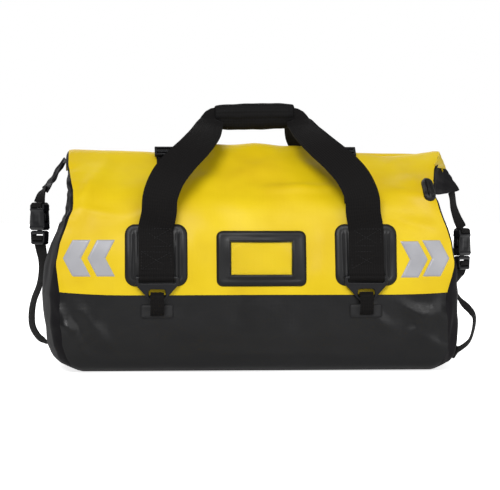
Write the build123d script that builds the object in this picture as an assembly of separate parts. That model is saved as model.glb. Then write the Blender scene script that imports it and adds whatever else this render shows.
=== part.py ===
"""Roll-top waterproof duffel bag, in millimetres. +X runs along the bag, the front faces -Y, +Z is up.

The origin is on the ground under the middle of the bag. Tarpaulin walls are closed shells of one
skin thickness.
"""
from build123d import *
import math
import os

# Bag body
BODY_LENGTH = 618.0
BODY_DEPTH = 302.0
CREST_HEIGHT = 324.0
SHOULDER_HEIGHT = 236.0
SHOULDER_INSET = 17.0       # how far the shoulder lies inside the belly
BELLY_HEIGHT = 105.0
FLOOR_INSET = 19.0          # how far the floor's edge lies inside the belly
CREST_HALF = 14.0           # from the middle to the crest's front corner
SEAM_HEIGHT = 110.0         # black base below, yellow wrap above
SKIN = 2.0
END_TOP_INSET = 25.0        # the roll end lies this far inside the end panel
END_WAIST_INSET = 33.0      # and the waist under it this far
END_SHOULDER_INSET = 10.0
END_RIM = 14.0              # end panel reaches this far round onto the long sides
PLAN_RADIUS = 60.0
END_SHOULDER_Z = 190.0
END_WAIST_RISE = 14.0       # the waist lies this far above the shoulder
END_TOP_RISE = 5.0          # the end outline runs on this far above the crest
END_FOOT_RADIUS = 45.0
END_RADII = (200.0, 60.0, 30.0, 3.0)        # belly, shoulder, waist, top
LOWER_RADII = (30.0, 120.0)                 # the cross-section's floor edge and belly
SHOULDER_RADIUS = 60.0
CREST_RADIUS = 9.0
BACK_CREST_RADIUS = 12.0
TAPE_WIDTH = 10.0
TAPE_THICK = 1.0
TAPE_FROM_RIM = 8.0

# Rolled closure behind the crest
ROLL_DEPTH = 58.0
ROLL_HEIGHT = 26.0
ROLL_GAP = 1.5
ROLL_FRONT_GAP = 3.5
ROLL_BACK_GAP = 10.5
ROLL_WALL = 4.0
ROLL_BACK = 0.55            # the roof behind the roll's step begins at this share of the roll
ROLL_START_IN = 6.0         # the roll starts this far inside the crest's front half
ROLL_DROP = 2.0             # its top is this far below the crest
STEP_RADII = (3.0, 4.0, 4.0)
STEP_LEAN = 3.0
ROLL_RADII = (6.0, 6.0, 8.0, 5.0)
STIFFENER_THICK = 1.6
STIFFENER_WIDTH = 20.0
STIFFENER_GAP = 0.3         # from the middle of the roll to each strip
STIFFENER_FROM_END = 5.0
STIFFENER_FORWARD = 5.0     # the strips lie this far in front of the roll's middle
TAB_WIDTH = 44.0
TAB_THICK = 3.0
TAB_KNEE = (16.0, 296.0)    # out from the roll's end, and the knee's height
TAB_RADIUS = 12.0
TAB_START_DROP = 4.0        # a tab starts this far below the roll's top
TAB_FROM_BUCKLE = 3.0
TAB_TIP = 262.0             # lowest height of a tab's free end
TAB_ABOVE = 18.0            # and the least distance from the tab to its buckle
CLOSURE_Y = 34.0            # middle of the roll, tabs and end straps

# Handles
HANDLE_X = 149.0            # middle of each leg
HANDLE_WEB = 50.0
WEB_THICK = 2.2
PATCH_BORDER = 19.0         # patch left bare on each side of the webbing
PATCH_LOW = 124.0
PATCH_HIGH = 211.0
PATCH_THICK = 3.0
PATCH_RADIUS = 14.0
LAP = 20.0                  # free webbing laps the sewn end by this much
LAP_GAP = 1.0
SEWN_MARGIN = 4.0           # from the sewn end to the patch's top
# A leg's middle line in the front view: how far inside HANDLE_X, and the height
LEG_LINE = ((1.0, 248.0), (15.0, 277.0), (50.0, 322.0))
LEG_RADII = (60.0, 90.0, 120.0)
LEG_INTO_GRIP = (3.0, 8.0)  # its end, out from the grip and below the grip's middle
# Its line in the end view: how far in from its belly, and the height
LEG_LEAN = 2.2              # its foot stands this far out
LEG_SIDE = ((0.0, 262.0), (36.0, 318.0))
LEG_NEAR_GRIP = (56.0, 350.0)
LEG_SIDE_RADII = (60.0, 60.0, 40.0, 6.0)
LEG_PLAY = 7.0              # from the shoulder to the leg, beside the patch and webbing
GRIP_LENGTH = 120.0
GRIP_DEPTH = 26.0
GRIP_TALL = 38.0
GRIP_Z = 372.0
GRIP_WALL = 3.0
GRIP_WEB = 26.0             # webbing is folded to this height inside the grip
GRIP_WEB_OUT = 17.0         # and comes out this far beyond each end of it
GRIP_STACK = 3.4            # half the foam core and its play
GRIP_CORE_PLAY = 0.4
GRIP_CORE_FROM_END = 4.0
GRIP_RADIUS = 10.0
GRIP_END_PLAY = 1.5         # between the free leg and the grip's end
FLAP_THICK = 2.0
FLAP_DROP = 18.0            # how far the flap comes down the front of the grip
FLAP_GAP = 0.4
FLAP_BACK = 6.0             # the flap's hinge lies this far behind the middle
FLAP_RADIUS = 9.5
FLAP_FROM_END = 1.0

# Triangle rings and their anchors
RING_ARM = 5.0
RING_SIDE_PLAY = 1.0
RING_BAR = 3.0              # radius of the bar in the webbing loop
RING_PLATE = 6.0
RING_TIP = 8.0              # half the width of the lowest edge
RING_RADII = (1.0, 4.0, 6.0)
RING_SLOT = (1.5, 7.5)     # the webbing's slot, from above the bar to below it
RING_CLEAR = 1.5            # room behind the plate in its anchor loop
RING_DROP = 34.0            # bar to lowest edge
RING_SHOULDER = 9.0
RING_Z = 136.0
RING_PLAY = 0.3
EYE_WIDTH = 24.0
EYE_HIGH = 16.0             # below the bar
EYE_LOW = 28.0
EYE_RADIUS = 4.0
ANCHOR_WEB = 19.0
ANCHOR_THICK = 2.0
ANCHOR_ROOM = 7.0           # room in the loop for the ring's swing
FOOT_WIDTH = 44.0
FOOT_LOW = 80.0
FOOT_HIGH = 97.0
FOOT_RADIUS = 3.0
ANCHOR_ABOVE_FOOT = 4.0
ANCHOR_ROUND = 0.48         # the loop's corner radius as a share of its depth

# Card window and reflective arrows
CARD_WIDTH = 127.0
CARD_TALL = 78.0
CARD_Z = 163.0
PANE_WIDTH = 89.0
PANE_TALL = 48.0
CARD_THICK = 3.0
PANE_THICK = 1.0
CARD_RADIUS = 8.0
PANE_RADIUS = 3.0
PANE_SUNK = 1.0
ARROW_TALL = 51.0
ARROW_DEPTH = 38.0
ARROW_ARM = 25.0
ARROW_THICK = 0.8
ARROW_FROM_END = (46.0, 85.0)
ARROW_Z = 164.0

# Compression straps
TOP_STRAP_X = 134.0
TOP_STRAP_WEB = 25.0
TOP_STRAP_LOW = 212.0
SLIDER_WIDTH = 31.0
SLIDER_LONG = 20.0
SLIDER_TALL = 5.0
SLIDER_Y = -30.0
SLIDER_SLOT = 0.24          # slot centres, as a share of the slider from its middle
SLIDER_SLOT_LONG = 4.0
TOP_STRAP_LIFT = 0.3

# End straps and side-release buckles
END_WEB = 25.0
END_WEB_THICK = 1.6
BUCKLE_OUT = 12.0           # buckles hang this far beyond the end panel
BUCKLE_TWIST = 50.0         # the flat face turns this far from the front towards its own end
BUCKLE_WIDTH = 34.0
BUCKLE_THICK = 11.0
SOCKET_BAR = 6.0
SOCKET_LONG = 34.0
CAVITY_WIDTH = 28.0
CAVITY_THICK = 6.6
CAVITY_LONG = 30.0
PLUG_LONG = 21.0
PLUG_THICK = 9.0
PRONG_X = 11.0
PRONG_WIDTH = 4.4
PRONG_THICK = 5.2
PRONG_LONG = 25.0
PRONG_HEAD = 11.0
PRONG_REACH = 16.4          # outer face of the head from the buckle's middle
PRONG_GAP = 0.5
SLOT_WIDTH = 26.0
SLOT_TALL = 3.4
SOCKET_RADIUS = 4.0
PLUG_RADIUS = 5.0
WINDOW_PLAY = 3.0           # above and below a prong's head in its window
TONGUE_WIDTH = 6.0
TONGUE_THICK = 4.0
TONGUE_LONG = 24.5
TONGUE_INTO_PLUG = 0.75
BAR_ROOM = 0.2              # between a wrapped strap and its bar
STRAP_SET = 0.4             # a strap's end is set this far into its loop
SLOT_DROPS = (8.0, 15.0)    # the ladder slots' distances below the socket
BUCKLE_TOP = {"left": 242.0, "right": 203.0}
STRAP_BULGE = 28.0          # and the slack straps bulge out this far
ANCHOR_Z = 30.0
ANCHOR_WIDTH = 40.0
ANCHOR_TALL = 26.0
ANCHOR_PATCH = 2.5
ANCHOR_RADIUS = 6.0
# The slack strap: share of its drop, share of the bulge, and how far it has turned flat to the end panel
SLACK_STEPS = (
    (0.0, 0.0, 0.0),
    (0.18, -0.12, 0.35),
    (0.38, 0.1, 0.75),
    (0.56, 0.75, 1.0),
    (0.7, 1.0, 1.0),
    (0.83, 0.85, 1.0),
    (0.94, 0.3, 1.0),
    (1.0, -0.6, 1.0),
)

VALVE_FROM_END = 62.0
VALVE_Z = 261.0
VALVE_WIDTH = 20.0
VALVE_TALL = 32.0
VALVE_THICK = 4.0
VALVE_RIB = 3.0
VALVE_RIB_MARGIN = 5.0
VALVE_RIB_RISE = 2.0

HALF_LENGTH = BODY_LENGTH / 2
HALF_DEPTH = BODY_DEPTH / 2
PATCH_WIDTH = HANDLE_WEB + 2 * PATCH_BORDER
RING_WIDTH = HANDLE_WEB + 2 * (RING_ARM + RING_SIDE_PLAY)
RING_SUNK = 0.6             # the webbing loop's back is sunk this far into the patch's plane
RING_Y = HALF_DEPTH + PATCH_THICK + RING_BAR + RING_PLAY + WEB_THICK - RING_SUNK
BUCKLE_X = HALF_LENGTH + BUCKLE_OUT
STRAP_OUT = HALF_LENGTH + STRAP_BULGE
VALVE_X = HALF_LENGTH - VALVE_FROM_END
FAR = 900.0
SIDES = (("left", -1), ("right", 1))
FACES = (("front", 1), ("rear", -1))
ROOF_SLOPE = math.degrees(
    math.atan2(CREST_HEIGHT - SHOULDER_HEIGHT, HALF_DEPTH - SHOULDER_INSET - CREST_HALF)
)
os.makedirs("parts", exist_ok=True)


def save(node, *solids):
    """Write one node; several solids become a group of separate solids."""
    shape = solids[0] if len(solids) == 1 else Compound(children=list(solids))
    export_step(shape, f"parts/{node}.step")


def whole(shape):
    """The single solid of a boolean result."""
    return sorted(shape.solids(), key=lambda s: s.volume)[-1]


def closed(points, radii):
    return make_face(FilletPolyline(*points, radius=radii, close=True).edges())


def grow(face, amount):
    """The outline moved out by amount, or in where it is negative."""
    return make_face(offset(face, amount=amount).faces()[0].outer_wire().edges()) if amount else face


def along_x(face, low, high):
    """Extrude a Y-Z outline from low to high along X."""
    return extrude(Plane.YZ.offset(low) * face, amount=high - low)


def along_y(face, low, high):
    """Extrude an X-Z outline from low to high along Y."""
    return extrude(Plane.XZ.offset(-high) * face, amount=high - low)


# ---- Body outlines
ROLL_START = CREST_HALF - ROLL_START_IN
ROLL_END = ROLL_START + ROLL_DEPTH + 2 * ROLL_GAP
ROLL_TOP = CREST_HEIGHT - ROLL_DROP
BACK_Y = ROLL_START + ROLL_DEPTH * ROLL_BACK


def rear_roof(y):
    """Height of the rear roof's envelope, over the roll and down to the shoulder."""
    shoulder_y = HALF_DEPTH - SHOULDER_INSET
    share = max(0.0, (y - BACK_Y) / (shoulder_y - BACK_Y))
    return ROLL_TOP + (SHOULDER_HEIGHT - ROLL_TOP) * share


def profile(rolled):
    """Y-Z outline of the body; rolled includes the closure, and without it there is a step for it."""
    low = HALF_DEPTH - FLOOR_INSET
    high = HALF_DEPTH - SHOULDER_INSET
    front = [(-low, 0), (-HALF_DEPTH, BELLY_HEIGHT), (-high, SHOULDER_HEIGHT), (-CREST_HALF, CREST_HEIGHT)]
    if rolled:
        top, top_radii = [(BACK_Y, ROLL_TOP)], [BACK_CREST_RADIUS]
    else:
        floor = CREST_HEIGHT - ROLL_HEIGHT
        top = [(ROLL_START - STEP_LEAN, ROLL_TOP), (ROLL_START, floor), (ROLL_END, rear_roof(ROLL_END))]
        top_radii = list(STEP_RADII)
    rear = [(high, SHOULDER_HEIGHT), (HALF_DEPTH, BELLY_HEIGHT), (low, 0)]
    front_radii = list(LOWER_RADII) + [SHOULDER_RADIUS, CREST_RADIUS]
    rear_radii = [SHOULDER_RADIUS] + list(reversed(LOWER_RADII))
    return closed(front + top + rear, front_radii + top_radii + rear_radii)


def elevation(inset, square=False):
    """X-Z outline of the body; square runs straight on below the floor and above the crest."""
    half = HALF_LENGTH - inset
    foot = -END_FOOT_RADIUS if square else inset
    head = CREST_HEIGHT + END_FOOT_RADIUS if square else CREST_HEIGHT + END_TOP_RISE - inset
    right = [
        (half, foot),
        (half, BELLY_HEIGHT),
        (half - END_SHOULDER_INSET, END_SHOULDER_Z),
        (half - END_WAIST_INSET, SHOULDER_HEIGHT + END_WAIST_RISE),
        (half - END_TOP_INSET, head),
    ]
    radii = [1 if square else END_FOOT_RADIUS - inset] + list(END_RADII)
    left = [(-x, z) for x, z in reversed(right)]
    return closed(right + left, radii + list(reversed(radii)))


def plan():
    return RectangleRounded(BODY_LENGTH, BODY_DEPTH, PLAN_RADIUS)


def body(grown=0.0, rolled=False):
    """Solid inside the body's surface, moved out by grown."""
    across = extrude(Plane.YZ * grow(profile(rolled), grown), amount=FAR, both=True)
    side = extrude(Plane.XZ * elevation(-grown), amount=FAR, both=True)
    down = extrude(grow(plan(), grown), amount=FAR, both=True)
    return across & side & down


OUTER = body()
INNER = body(-SKIN)
SHELL = OUTER - INNER
WRAP_ZONE = extrude(Plane.XZ * elevation(END_RIM, square=True), amount=FAR, both=True)
ABOVE = Pos(0, 0, SEAM_HEIGHT + FAR / 2) * Box(2 * FAR, 2 * FAR, FAR)


def skin_layer(low, high, zone):
    """A layer on the body's outside between two distances from it, kept inside zone."""
    return whole((body(high, rolled=True) & zone) - body(low, rolled=True))


def front_zone(face, x=0.0, z=0.0, side=1):
    """The room in front (side 1) or behind (side -1) of the body, seen through face."""
    placed = Pos(x, z) * face
    low, high = (-FAR, -HALF_DEPTH / 2) if side == 1 else (HALF_DEPTH / 2, FAR)
    return along_y(placed, low, high)


def body_panels():
    wrap = SHELL & WRAP_ZONE
    save("base_shell", whole(wrap - ABOVE))
    save("upper_shell", whole(wrap & ABOVE))
    ends = SHELL - WRAP_ZONE
    for name, s in SIDES:
        half = Pos(s * FAR / 2, 0, 0) * Box(FAR, FAR, FAR)
        save(f"end_panel_{name}", whole(ends & half))
    reach = 2 * (HALF_LENGTH - END_RIM - TAPE_FROM_RIM)
    strip = Rectangle(reach, TAPE_WIDTH)
    for name, side in FACES:
        zone = front_zone(strip, 0, SEAM_HEIGHT, side)
        save(f"seam_tape_{name}", whole(skin_layer(0, TAPE_THICK, zone)))


def tab_tip(name):
    """Height of a closure tab's free end, above its buckle."""
    return max(BUCKLE_TOP[name] + TAB_ABOVE, TAB_TIP)


def closure():
    half = HALF_LENGTH - END_TOP_INSET - 4
    low = CREST_HEIGHT - ROLL_HEIGHT + ROLL_GAP
    y0 = ROLL_START + ROLL_FRONT_GAP
    y1 = ROLL_END - ROLL_BACK_GAP
    top = ROLL_TOP - ROLL_GAP
    section = closed([(y0, low), (y0, top), (ROLL_START + ROLL_DEPTH / 2, top), (y1, low)], list(ROLL_RADII))
    core = grow(section, -ROLL_WALL)
    save("rolled_closure", whole(along_x(section - core, -half, half)))
    middle_z = (low + ROLL_TOP - ROLL_GAP) / 2
    strips = []
    for shift in (-1, 1):
        strip = Box(2 * (half - STIFFENER_FROM_END), STIFFENER_WIDTH, STIFFENER_THICK)
        rise = shift * (STIFFENER_THICK / 2 + STIFFENER_GAP)
        strips.append(Pos(0, (y0 + y1) / 2 - STIFFENER_FORWARD, middle_z + rise) * strip)
    save("closure_stiffeners", *strips)
    for name, s in SIDES:
        path = [
            (s * (half + TAB_THICK), ROLL_TOP - TAB_START_DROP),
            (s * (half + TAB_KNEE[0]), TAB_KNEE[1]),
            (s * (BUCKLE_X - TAB_FROM_BUCKLE), tab_tip(name)),
        ]
        band = trace(FilletPolyline(*path, radius=TAB_RADIUS), line_width=TAB_THICK)
        low_y, high_y = CLOSURE_Y - TAB_WIDTH / 2, CLOSURE_Y + TAB_WIDTH / 2
        save(f"closure_tab_{name}", whole(along_y(band, low_y, high_y)))


# ---- Handles
def patches_and_ends():
    patch = RectangleRounded(PATCH_WIDTH, PATCH_HIGH - PATCH_LOW, PATCH_RADIUS)
    middle = (PATCH_LOW + PATCH_HIGH) / 2
    end_low = RING_Z + RING_BAR + 1
    end_high = PATCH_HIGH - SEWN_MARGIN
    for face_name, side in FACES:
        for name, s in SIDES:
            tag = f"{face_name}_{name}"
            patch_zone = front_zone(patch, s * HANDLE_X, middle, side)
            save(f"handle_patch_{tag}", skin_layer(0, PATCH_THICK, patch_zone))
            sewn = Rectangle(HANDLE_WEB, end_high - end_low)
            zone = front_zone(sewn, s * HANDLE_X, (end_low + end_high) / 2, side)
            web = skin_layer(PATCH_THICK, PATCH_THICK + WEB_THICK, zone)
            bore = RING_BAR + RING_PLAY
            loop = Circle(bore + WEB_THICK) - Circle(bore)
            tube = Pos(0, -side * RING_Y, 0) * along_x(Pos(0, RING_Z) * loop, -HANDLE_WEB / 2, HANDLE_WEB / 2)
            save(f"sewn_webbing_{tag}", whole(web + Pos(s * HANDLE_X, 0, 0) * tube))


def rings_and_anchors():
    half = RING_WIDTH / 2
    outline = closed(
        [
            (half, 0),
            (half, -RING_SHOULDER),
            (RING_TIP, -RING_DROP),
            (-RING_TIP, -RING_DROP),
            (-half, -RING_SHOULDER),
            (-half, 0),
        ],
        list(RING_RADII) + list(reversed(RING_RADII)),
    )
    above, below = RING_SLOT
    slot = Pos(0, (above - below) / 2) * Rectangle(2 * (half - RING_ARM), above + below)
    eye = Pos(0, -(EYE_HIGH + EYE_LOW) / 2) * RectangleRounded(EYE_WIDTH, EYE_LOW - EYE_HIGH, EYE_RADIUS)
    plate = extrude(Plane.XZ * (outline - slot - eye), amount=RING_PLATE / 2, both=True)
    bar = Rot(0, 90, 0) * Cylinder(RING_BAR, RING_WIDTH - 2 * RING_SIDE_PLAY)
    ring = whole(plate + bar)
    ring_front = RING_Y + RING_PLATE / 2 + ANCHOR_ROOM
    ring_back = RING_Y - RING_PLATE / 2 - RING_CLEAR
    loop_mid = (ring_front + ring_back) / 2
    loop_in = ring_front - ring_back
    top = RING_Z - (EYE_HIGH + EYE_LOW) / 2
    low = FOOT_LOW + ANCHOR_ABOVE_FOOT
    bend = loop_in * ANCHOR_ROUND
    more = 2 * ANCHOR_THICK
    centre = Pos(-loop_mid, (top + low) / 2)
    inner = centre * RectangleRounded(loop_in, top - low, bend)
    outer = centre * RectangleRounded(loop_in + more, top - low + more, bend + ANCHOR_THICK)
    band = along_x(outer - inner, -ANCHOR_WEB / 2, ANCHOR_WEB / 2)
    foot_face = RectangleRounded(FOOT_WIDTH, FOOT_HIGH - FOOT_LOW, FOOT_RADIUS)
    for face_name, side in FACES:
        for name, s in SIDES:
            tag = f"{face_name}_{name}"
            place = Pos(s * HANDLE_X, -side * RING_Y, RING_Z)
            save(f"triangle_ring_{tag}", place * ring)
            loop = band if side == 1 else mirror(band, about=Plane.XZ)
            zone = front_zone(foot_face, s * HANDLE_X, (FOOT_LOW + FOOT_HIGH) / 2, side)
            foot = skin_layer(0, RING_Y - RING_PLATE / 2 - HALF_DEPTH, zone)
            save(f"anchor_tab_{tag}", whole(foot + Pos(s * HANDLE_X, 0, 0) * loop))


def handle():
    grip_half = GRIP_LENGTH / 2
    foot = PATCH_HIGH - SEWN_MARGIN - LAP
    leg = [(-HANDLE_X, foot)]
    leg += [(-HANDLE_X + inwards, z) for inwards, z in LEG_LINE]
    leg += [(-grip_half - LEG_INTO_GRIP[0], GRIP_Z - LEG_INTO_GRIP[1])]
    left = trace(FilletPolyline(*leg, radius=list(LEG_RADII)), line_width=HANDLE_WEB)
    top_strip = Pos(0, GRIP_Z) * Rectangle(2 * (grip_half + GRIP_WEB_OUT), GRIP_WEB)
    grip_room = Rectangle(2 * (grip_half + GRIP_END_PLAY), FAR)
    seen = left + mirror(left, about=Plane.YZ) - grip_room + top_strip
    belly = HALF_DEPTH - SHOULDER_INSET + LEG_PLAY + PATCH_THICK + WEB_THICK * 1.5 + LAP_GAP
    stack = GRIP_STACK + WEB_THICK / 2
    path = [(-belly - LEG_LEAN, foot)]
    path += [(-belly + inwards, z) for inwards, z in LEG_SIDE]
    path += [
        (-LEG_NEAR_GRIP[0], LEG_NEAR_GRIP[1]),
        (-stack, GRIP_Z - GRIP_WEB / 2 - WEB_THICK),
        (-stack, GRIP_Z + GRIP_WEB / 2),
    ]
    band = trace(FilletPolyline(*path, radius=list(LEG_SIDE_RADII)), line_width=WEB_THICK)
    web = whole(along_x(band, -FAR, FAR) & extrude(Plane.XZ * seen, amount=FAR, both=True))
    save("handle_webbing_front", web)
    save("handle_webbing_rear", mirror(web, about=Plane.XZ))
    section = RectangleRounded(GRIP_DEPTH, GRIP_TALL, GRIP_RADIUS)
    hollow = RectangleRounded(
        GRIP_DEPTH - 2 * GRIP_WALL, GRIP_TALL - 2 * GRIP_WALL, GRIP_RADIUS - GRIP_WALL
    )
    save("grip_wrap", along_x(Pos(0, GRIP_Z) * (section - hollow), -grip_half, grip_half))
    core_thick = 2 * (GRIP_STACK - GRIP_CORE_PLAY)
    core = Box(GRIP_LENGTH - 2 * GRIP_CORE_FROM_END, core_thick, GRIP_WEB)
    save("grip_core", Pos(0, 0, GRIP_Z) * core)
    out = GRIP_DEPTH / 2 + FLAP_GAP + FLAP_THICK / 2
    up = GRIP_Z + GRIP_TALL / 2 + FLAP_GAP + FLAP_THICK / 2
    fold = FilletPolyline((FLAP_BACK, up), (-out, up), (-out, up - FLAP_DROP), radius=FLAP_RADIUS)
    cover = trace(fold, line_width=FLAP_THICK)
    save("grip_flap", along_x(cover, -grip_half + FLAP_FROM_END, grip_half - FLAP_FROM_END))


# ---- Card window, arrows, valve
def card_window():
    pane = RectangleRounded(PANE_WIDTH, PANE_TALL, PANE_RADIUS)
    frame = RectangleRounded(CARD_WIDTH, CARD_TALL, CARD_RADIUS) - pane
    save("card_frame", skin_layer(0, CARD_THICK, front_zone(frame, 0, CARD_Z)))
    outside = CARD_THICK - PANE_SUNK
    save("card_pane", skin_layer(outside - PANE_THICK, outside, front_zone(pane, 0, CARD_Z)))


def arrows():
    rise = ARROW_TALL / 2
    reach = ARROW_DEPTH - ARROW_ARM
    upper = [(ARROW_DEPTH, 0), (ARROW_ARM, rise), (0, rise), (reach, 0)]
    shape = Polygon((0, -rise), (ARROW_ARM, -rise), *upper, align=None)
    centred = Pos(-ARROW_DEPTH / 2, 0) * shape
    for name, s in SIDES:
        pair = []
        for from_end in ARROW_FROM_END:
            x = HALF_LENGTH - from_end
            pointing = centred if s == 1 else mirror(centred, about=Plane.YZ)
            pair.append(skin_layer(0, ARROW_THICK, front_zone(pointing, s * x, ARROW_Z)))
        save(f"reflective_arrows_{name}", *pair)


def valve():
    zone = front_zone(Ellipse(VALVE_WIDTH / 2, VALVE_TALL / 2), VALVE_X, VALVE_Z)
    disc = skin_layer(0, VALVE_THICK, zone)
    rib_zone = front_zone(Rectangle(VALVE_RIB, VALVE_TALL - 2 * VALVE_RIB_MARGIN), VALVE_X, VALVE_Z)
    save("air_valve", whole(disc + skin_layer(VALVE_THICK, VALVE_THICK + VALVE_RIB_RISE, rib_zone)))


# ---- Compression straps over the crest
def top_straps():
    for name, s in SIDES:
        zone = Pos(s * TOP_STRAP_X, 0, TOP_STRAP_LOW + FAR / 2) * Box(TOP_STRAP_WEB, FAR, FAR)
        save(f"top_strap_{name}", skin_layer(TOP_STRAP_LIFT, TOP_STRAP_LIFT + WEB_THICK, zone))
        frame = Box(SLIDER_WIDTH, SLIDER_LONG, SLIDER_TALL)
        for shift in (-1, 1):
            frame -= Pos(0, shift * SLIDER_LONG * SLIDER_SLOT, 0) * Box(TOP_STRAP_WEB, SLIDER_SLOT_LONG, FAR)
        depth = -CREST_HALF - SLIDER_Y
        roof = CREST_HEIGHT - depth * math.tan(math.radians(ROOF_SLOPE))
        above = (2 * TOP_STRAP_LIFT + WEB_THICK + SLIDER_TALL / 2) / math.cos(math.radians(ROOF_SLOPE))
        place = Pos(s * TOP_STRAP_X, SLIDER_Y, roof + above) * Rot(ROOF_SLOPE, 0, 0)
        save(f"slider_{name}", whole(place * frame))


# ---- End straps and buckles
def ribbon(stations):
    """A flat strap lofted through stations of x, z, and the turn of its width from the X direction."""
    sections = []
    for i, (x, z, turn) in enumerate(stations):
        a = stations[max(i - 1, 0)]
        b = stations[min(i + 1, len(stations) - 1)]
        run = Vector(b[0] - a[0], 0, b[1] - a[1]).normalized()
        wide = Vector(math.cos(math.radians(turn)), math.sin(math.radians(turn)), 0)
        wide = (wide - run * wide.dot(run)).normalized()
        plane = Plane(origin=(x, CLOSURE_Y, z), x_dir=wide, z_dir=run)
        sections.append(plane * Rectangle(END_WEB, END_WEB_THICK))
    return whole(loft(sections, ruled=True))


def bar_loop(thick, high, low):
    """Webbing wrapped round a bar that is thick from face to face, between two heights."""
    outer = Box(END_WEB - 1, thick + 2 * (BAR_ROOM + END_WEB_THICK), high - low)
    inner = Box(END_WEB, thick + 2 * BAR_ROOM, high - low - 2 * END_WEB_THICK)
    return Pos(0, 0, (high + low) / 2) * (outer - inner)


def buckle(place, turned, name):
    """Socket above, plug below, with its two squeeze prongs."""
    low = SOCKET_BAR + SOCKET_LONG
    shell = Pos(0, 0, -low / 2) * Box(BUCKLE_WIDTH, BUCKLE_THICK, low)
    shell = fillet(shell.edges().filter_by(Axis.Y), SOCKET_RADIUS)
    shell -= Pos(0, 0, -low + CAVITY_LONG / 2) * Box(CAVITY_WIDTH, CAVITY_THICK, CAVITY_LONG + 0.02)
    window_z = -low + PRONG_LONG - PRONG_HEAD / 2
    shell -= Pos(0, 0, window_z) * Box(FAR, CAVITY_THICK, PRONG_HEAD + 2 * WINDOW_PLAY)
    shell -= Pos(0, 0, -SOCKET_BAR + 1) * Box(SLOT_WIDTH, FAR, SLOT_TALL)
    save(f"buckle_socket_{name}", place * whole(shell))
    plate = Pos(0, 0, -low - PRONG_GAP - PLUG_LONG / 2) * Box(BUCKLE_WIDTH, PLUG_THICK, PLUG_LONG)
    plate = fillet(plate.edges().filter_by(Axis.Y), PLUG_RADIUS)
    for drop in SLOT_DROPS:
        plate -= Pos(0, 0, -low - drop) * Box(SLOT_WIDTH, FAR, SLOT_TALL)
    tongue_z = -low + TONGUE_LONG / 2 - TONGUE_INTO_PLUG
    tongue = Pos(0, 0, tongue_z) * Box(TONGUE_WIDTH, TONGUE_THICK, TONGUE_LONG)
    save(f"buckle_plug_{name}", place * whole(plate + tongue))
    first = "front" if turned < 0 else "rear"
    second = "rear" if turned < 0 else "front"
    for tag, s in ((first, 1), (second, -1)):
        stem = Pos(s * PRONG_X, 0, -low + PRONG_LONG / 2) * Box(PRONG_WIDTH, PRONG_THICK, PRONG_LONG)
        wide = PRONG_REACH - PRONG_X
        head = Pos(s * (PRONG_X + wide / 2), 0, window_z) * Box(wide, PRONG_THICK, PRONG_HEAD)
        save(f"buckle_prong_{name}_{tag}", place * whole(stem + head))


def webbing_wrap(socket_low, plug_low):
    """Lower webbing round the plug's ladder bar, down its back and under it, in the buckle's own frame."""
    half = END_WEB_THICK / 2
    high = -socket_low - SLOT_DROPS[0] + half
    low = -socket_low - SLOT_DROPS[1] - half
    back = PLUG_THICK / 2 + BAR_ROOM
    under = -plug_low - 3 * BAR_ROOM
    shape = bar_loop(PLUG_THICK, high, low)
    shape += Pos(0, back + half, (low + under) / 2) * Box(END_WEB - 1, END_WEB_THICK, low - under)
    reach = back + END_WEB_THICK + half
    shape += Pos(0, reach / 2 - half, under - half) * Box(END_WEB - 1, reach, END_WEB_THICK)
    return shape, under - END_WEB_THICK


def end_straps():
    socket_low = SOCKET_BAR + SOCKET_LONG
    plug_low = socket_low + PRONG_GAP + PLUG_LONG
    loop_high = BAR_ROOM + END_WEB_THICK
    for name, s in SIDES:
        top = BUCKLE_TOP[name]
        turn = s * BUCKLE_TWIST
        place = Pos(s * BUCKLE_X, CLOSURE_Y, top) * Rot(0, 0, turn)
        buckle(place, turn, name)
        hang = tab_tip(name) - 2
        upper = [
            (s * (BUCKLE_X + TAB_THICK / 2 - 2), hang, s * 90),
            (s * (BUCKLE_X - 1), (hang + top) / 2 + 1, s * (90 + BUCKLE_TWIST) / 2),
            (s * BUCKLE_X, top + loop_high - STRAP_SET, turn),
        ]
        loop = bar_loop(BUCKLE_THICK, loop_high, -SOCKET_BAR + 1 - END_WEB_THICK / 2)
        save(f"end_strap_upper_{name}", whole(ribbon(upper) + place * loop))
        wrap, under = webbing_wrap(socket_low, plug_low)
        start = top + under + STRAP_SET
        lower = []
        for drop, out, twisted in SLACK_STEPS:
            x = BUCKLE_X + (STRAP_OUT - BUCKLE_X) * out
            z = start - (start - ANCHOR_Z) * drop
            lower.append((s * x, z, s * (BUCKLE_TWIST + (90 - BUCKLE_TWIST) * twisted)))
        save(f"end_strap_lower_{name}", whole(ribbon(lower) + place * wrap))
        face = RectangleRounded(ANCHOR_WIDTH, ANCHOR_TALL, ANCHOR_RADIUS)
        zone = extrude(Plane.YZ * (Pos(CLOSURE_Y, ANCHOR_Z) * face), amount=s * FAR)
        save(f"strap_anchor_{name}", skin_layer(0, ANCHOR_PATCH, zone))


body_panels()
closure()
patches_and_ends()
rings_and_anchors()
handle()
card_window()
arrows()
valve()
top_straps()
end_straps()
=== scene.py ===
# %% [markdown]
# # A roll-top duffel bag
# The bag is welded from PVC-coated cloth and carried by woven webbing. Its measured parts come from the
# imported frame, which stays as it is. Everything soft is made here, in metres, around that frame.

# %% The frame
import bpy
import math
import numpy as np
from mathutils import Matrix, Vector, noise
from mathutils.bvhtree import BVHTree


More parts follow.
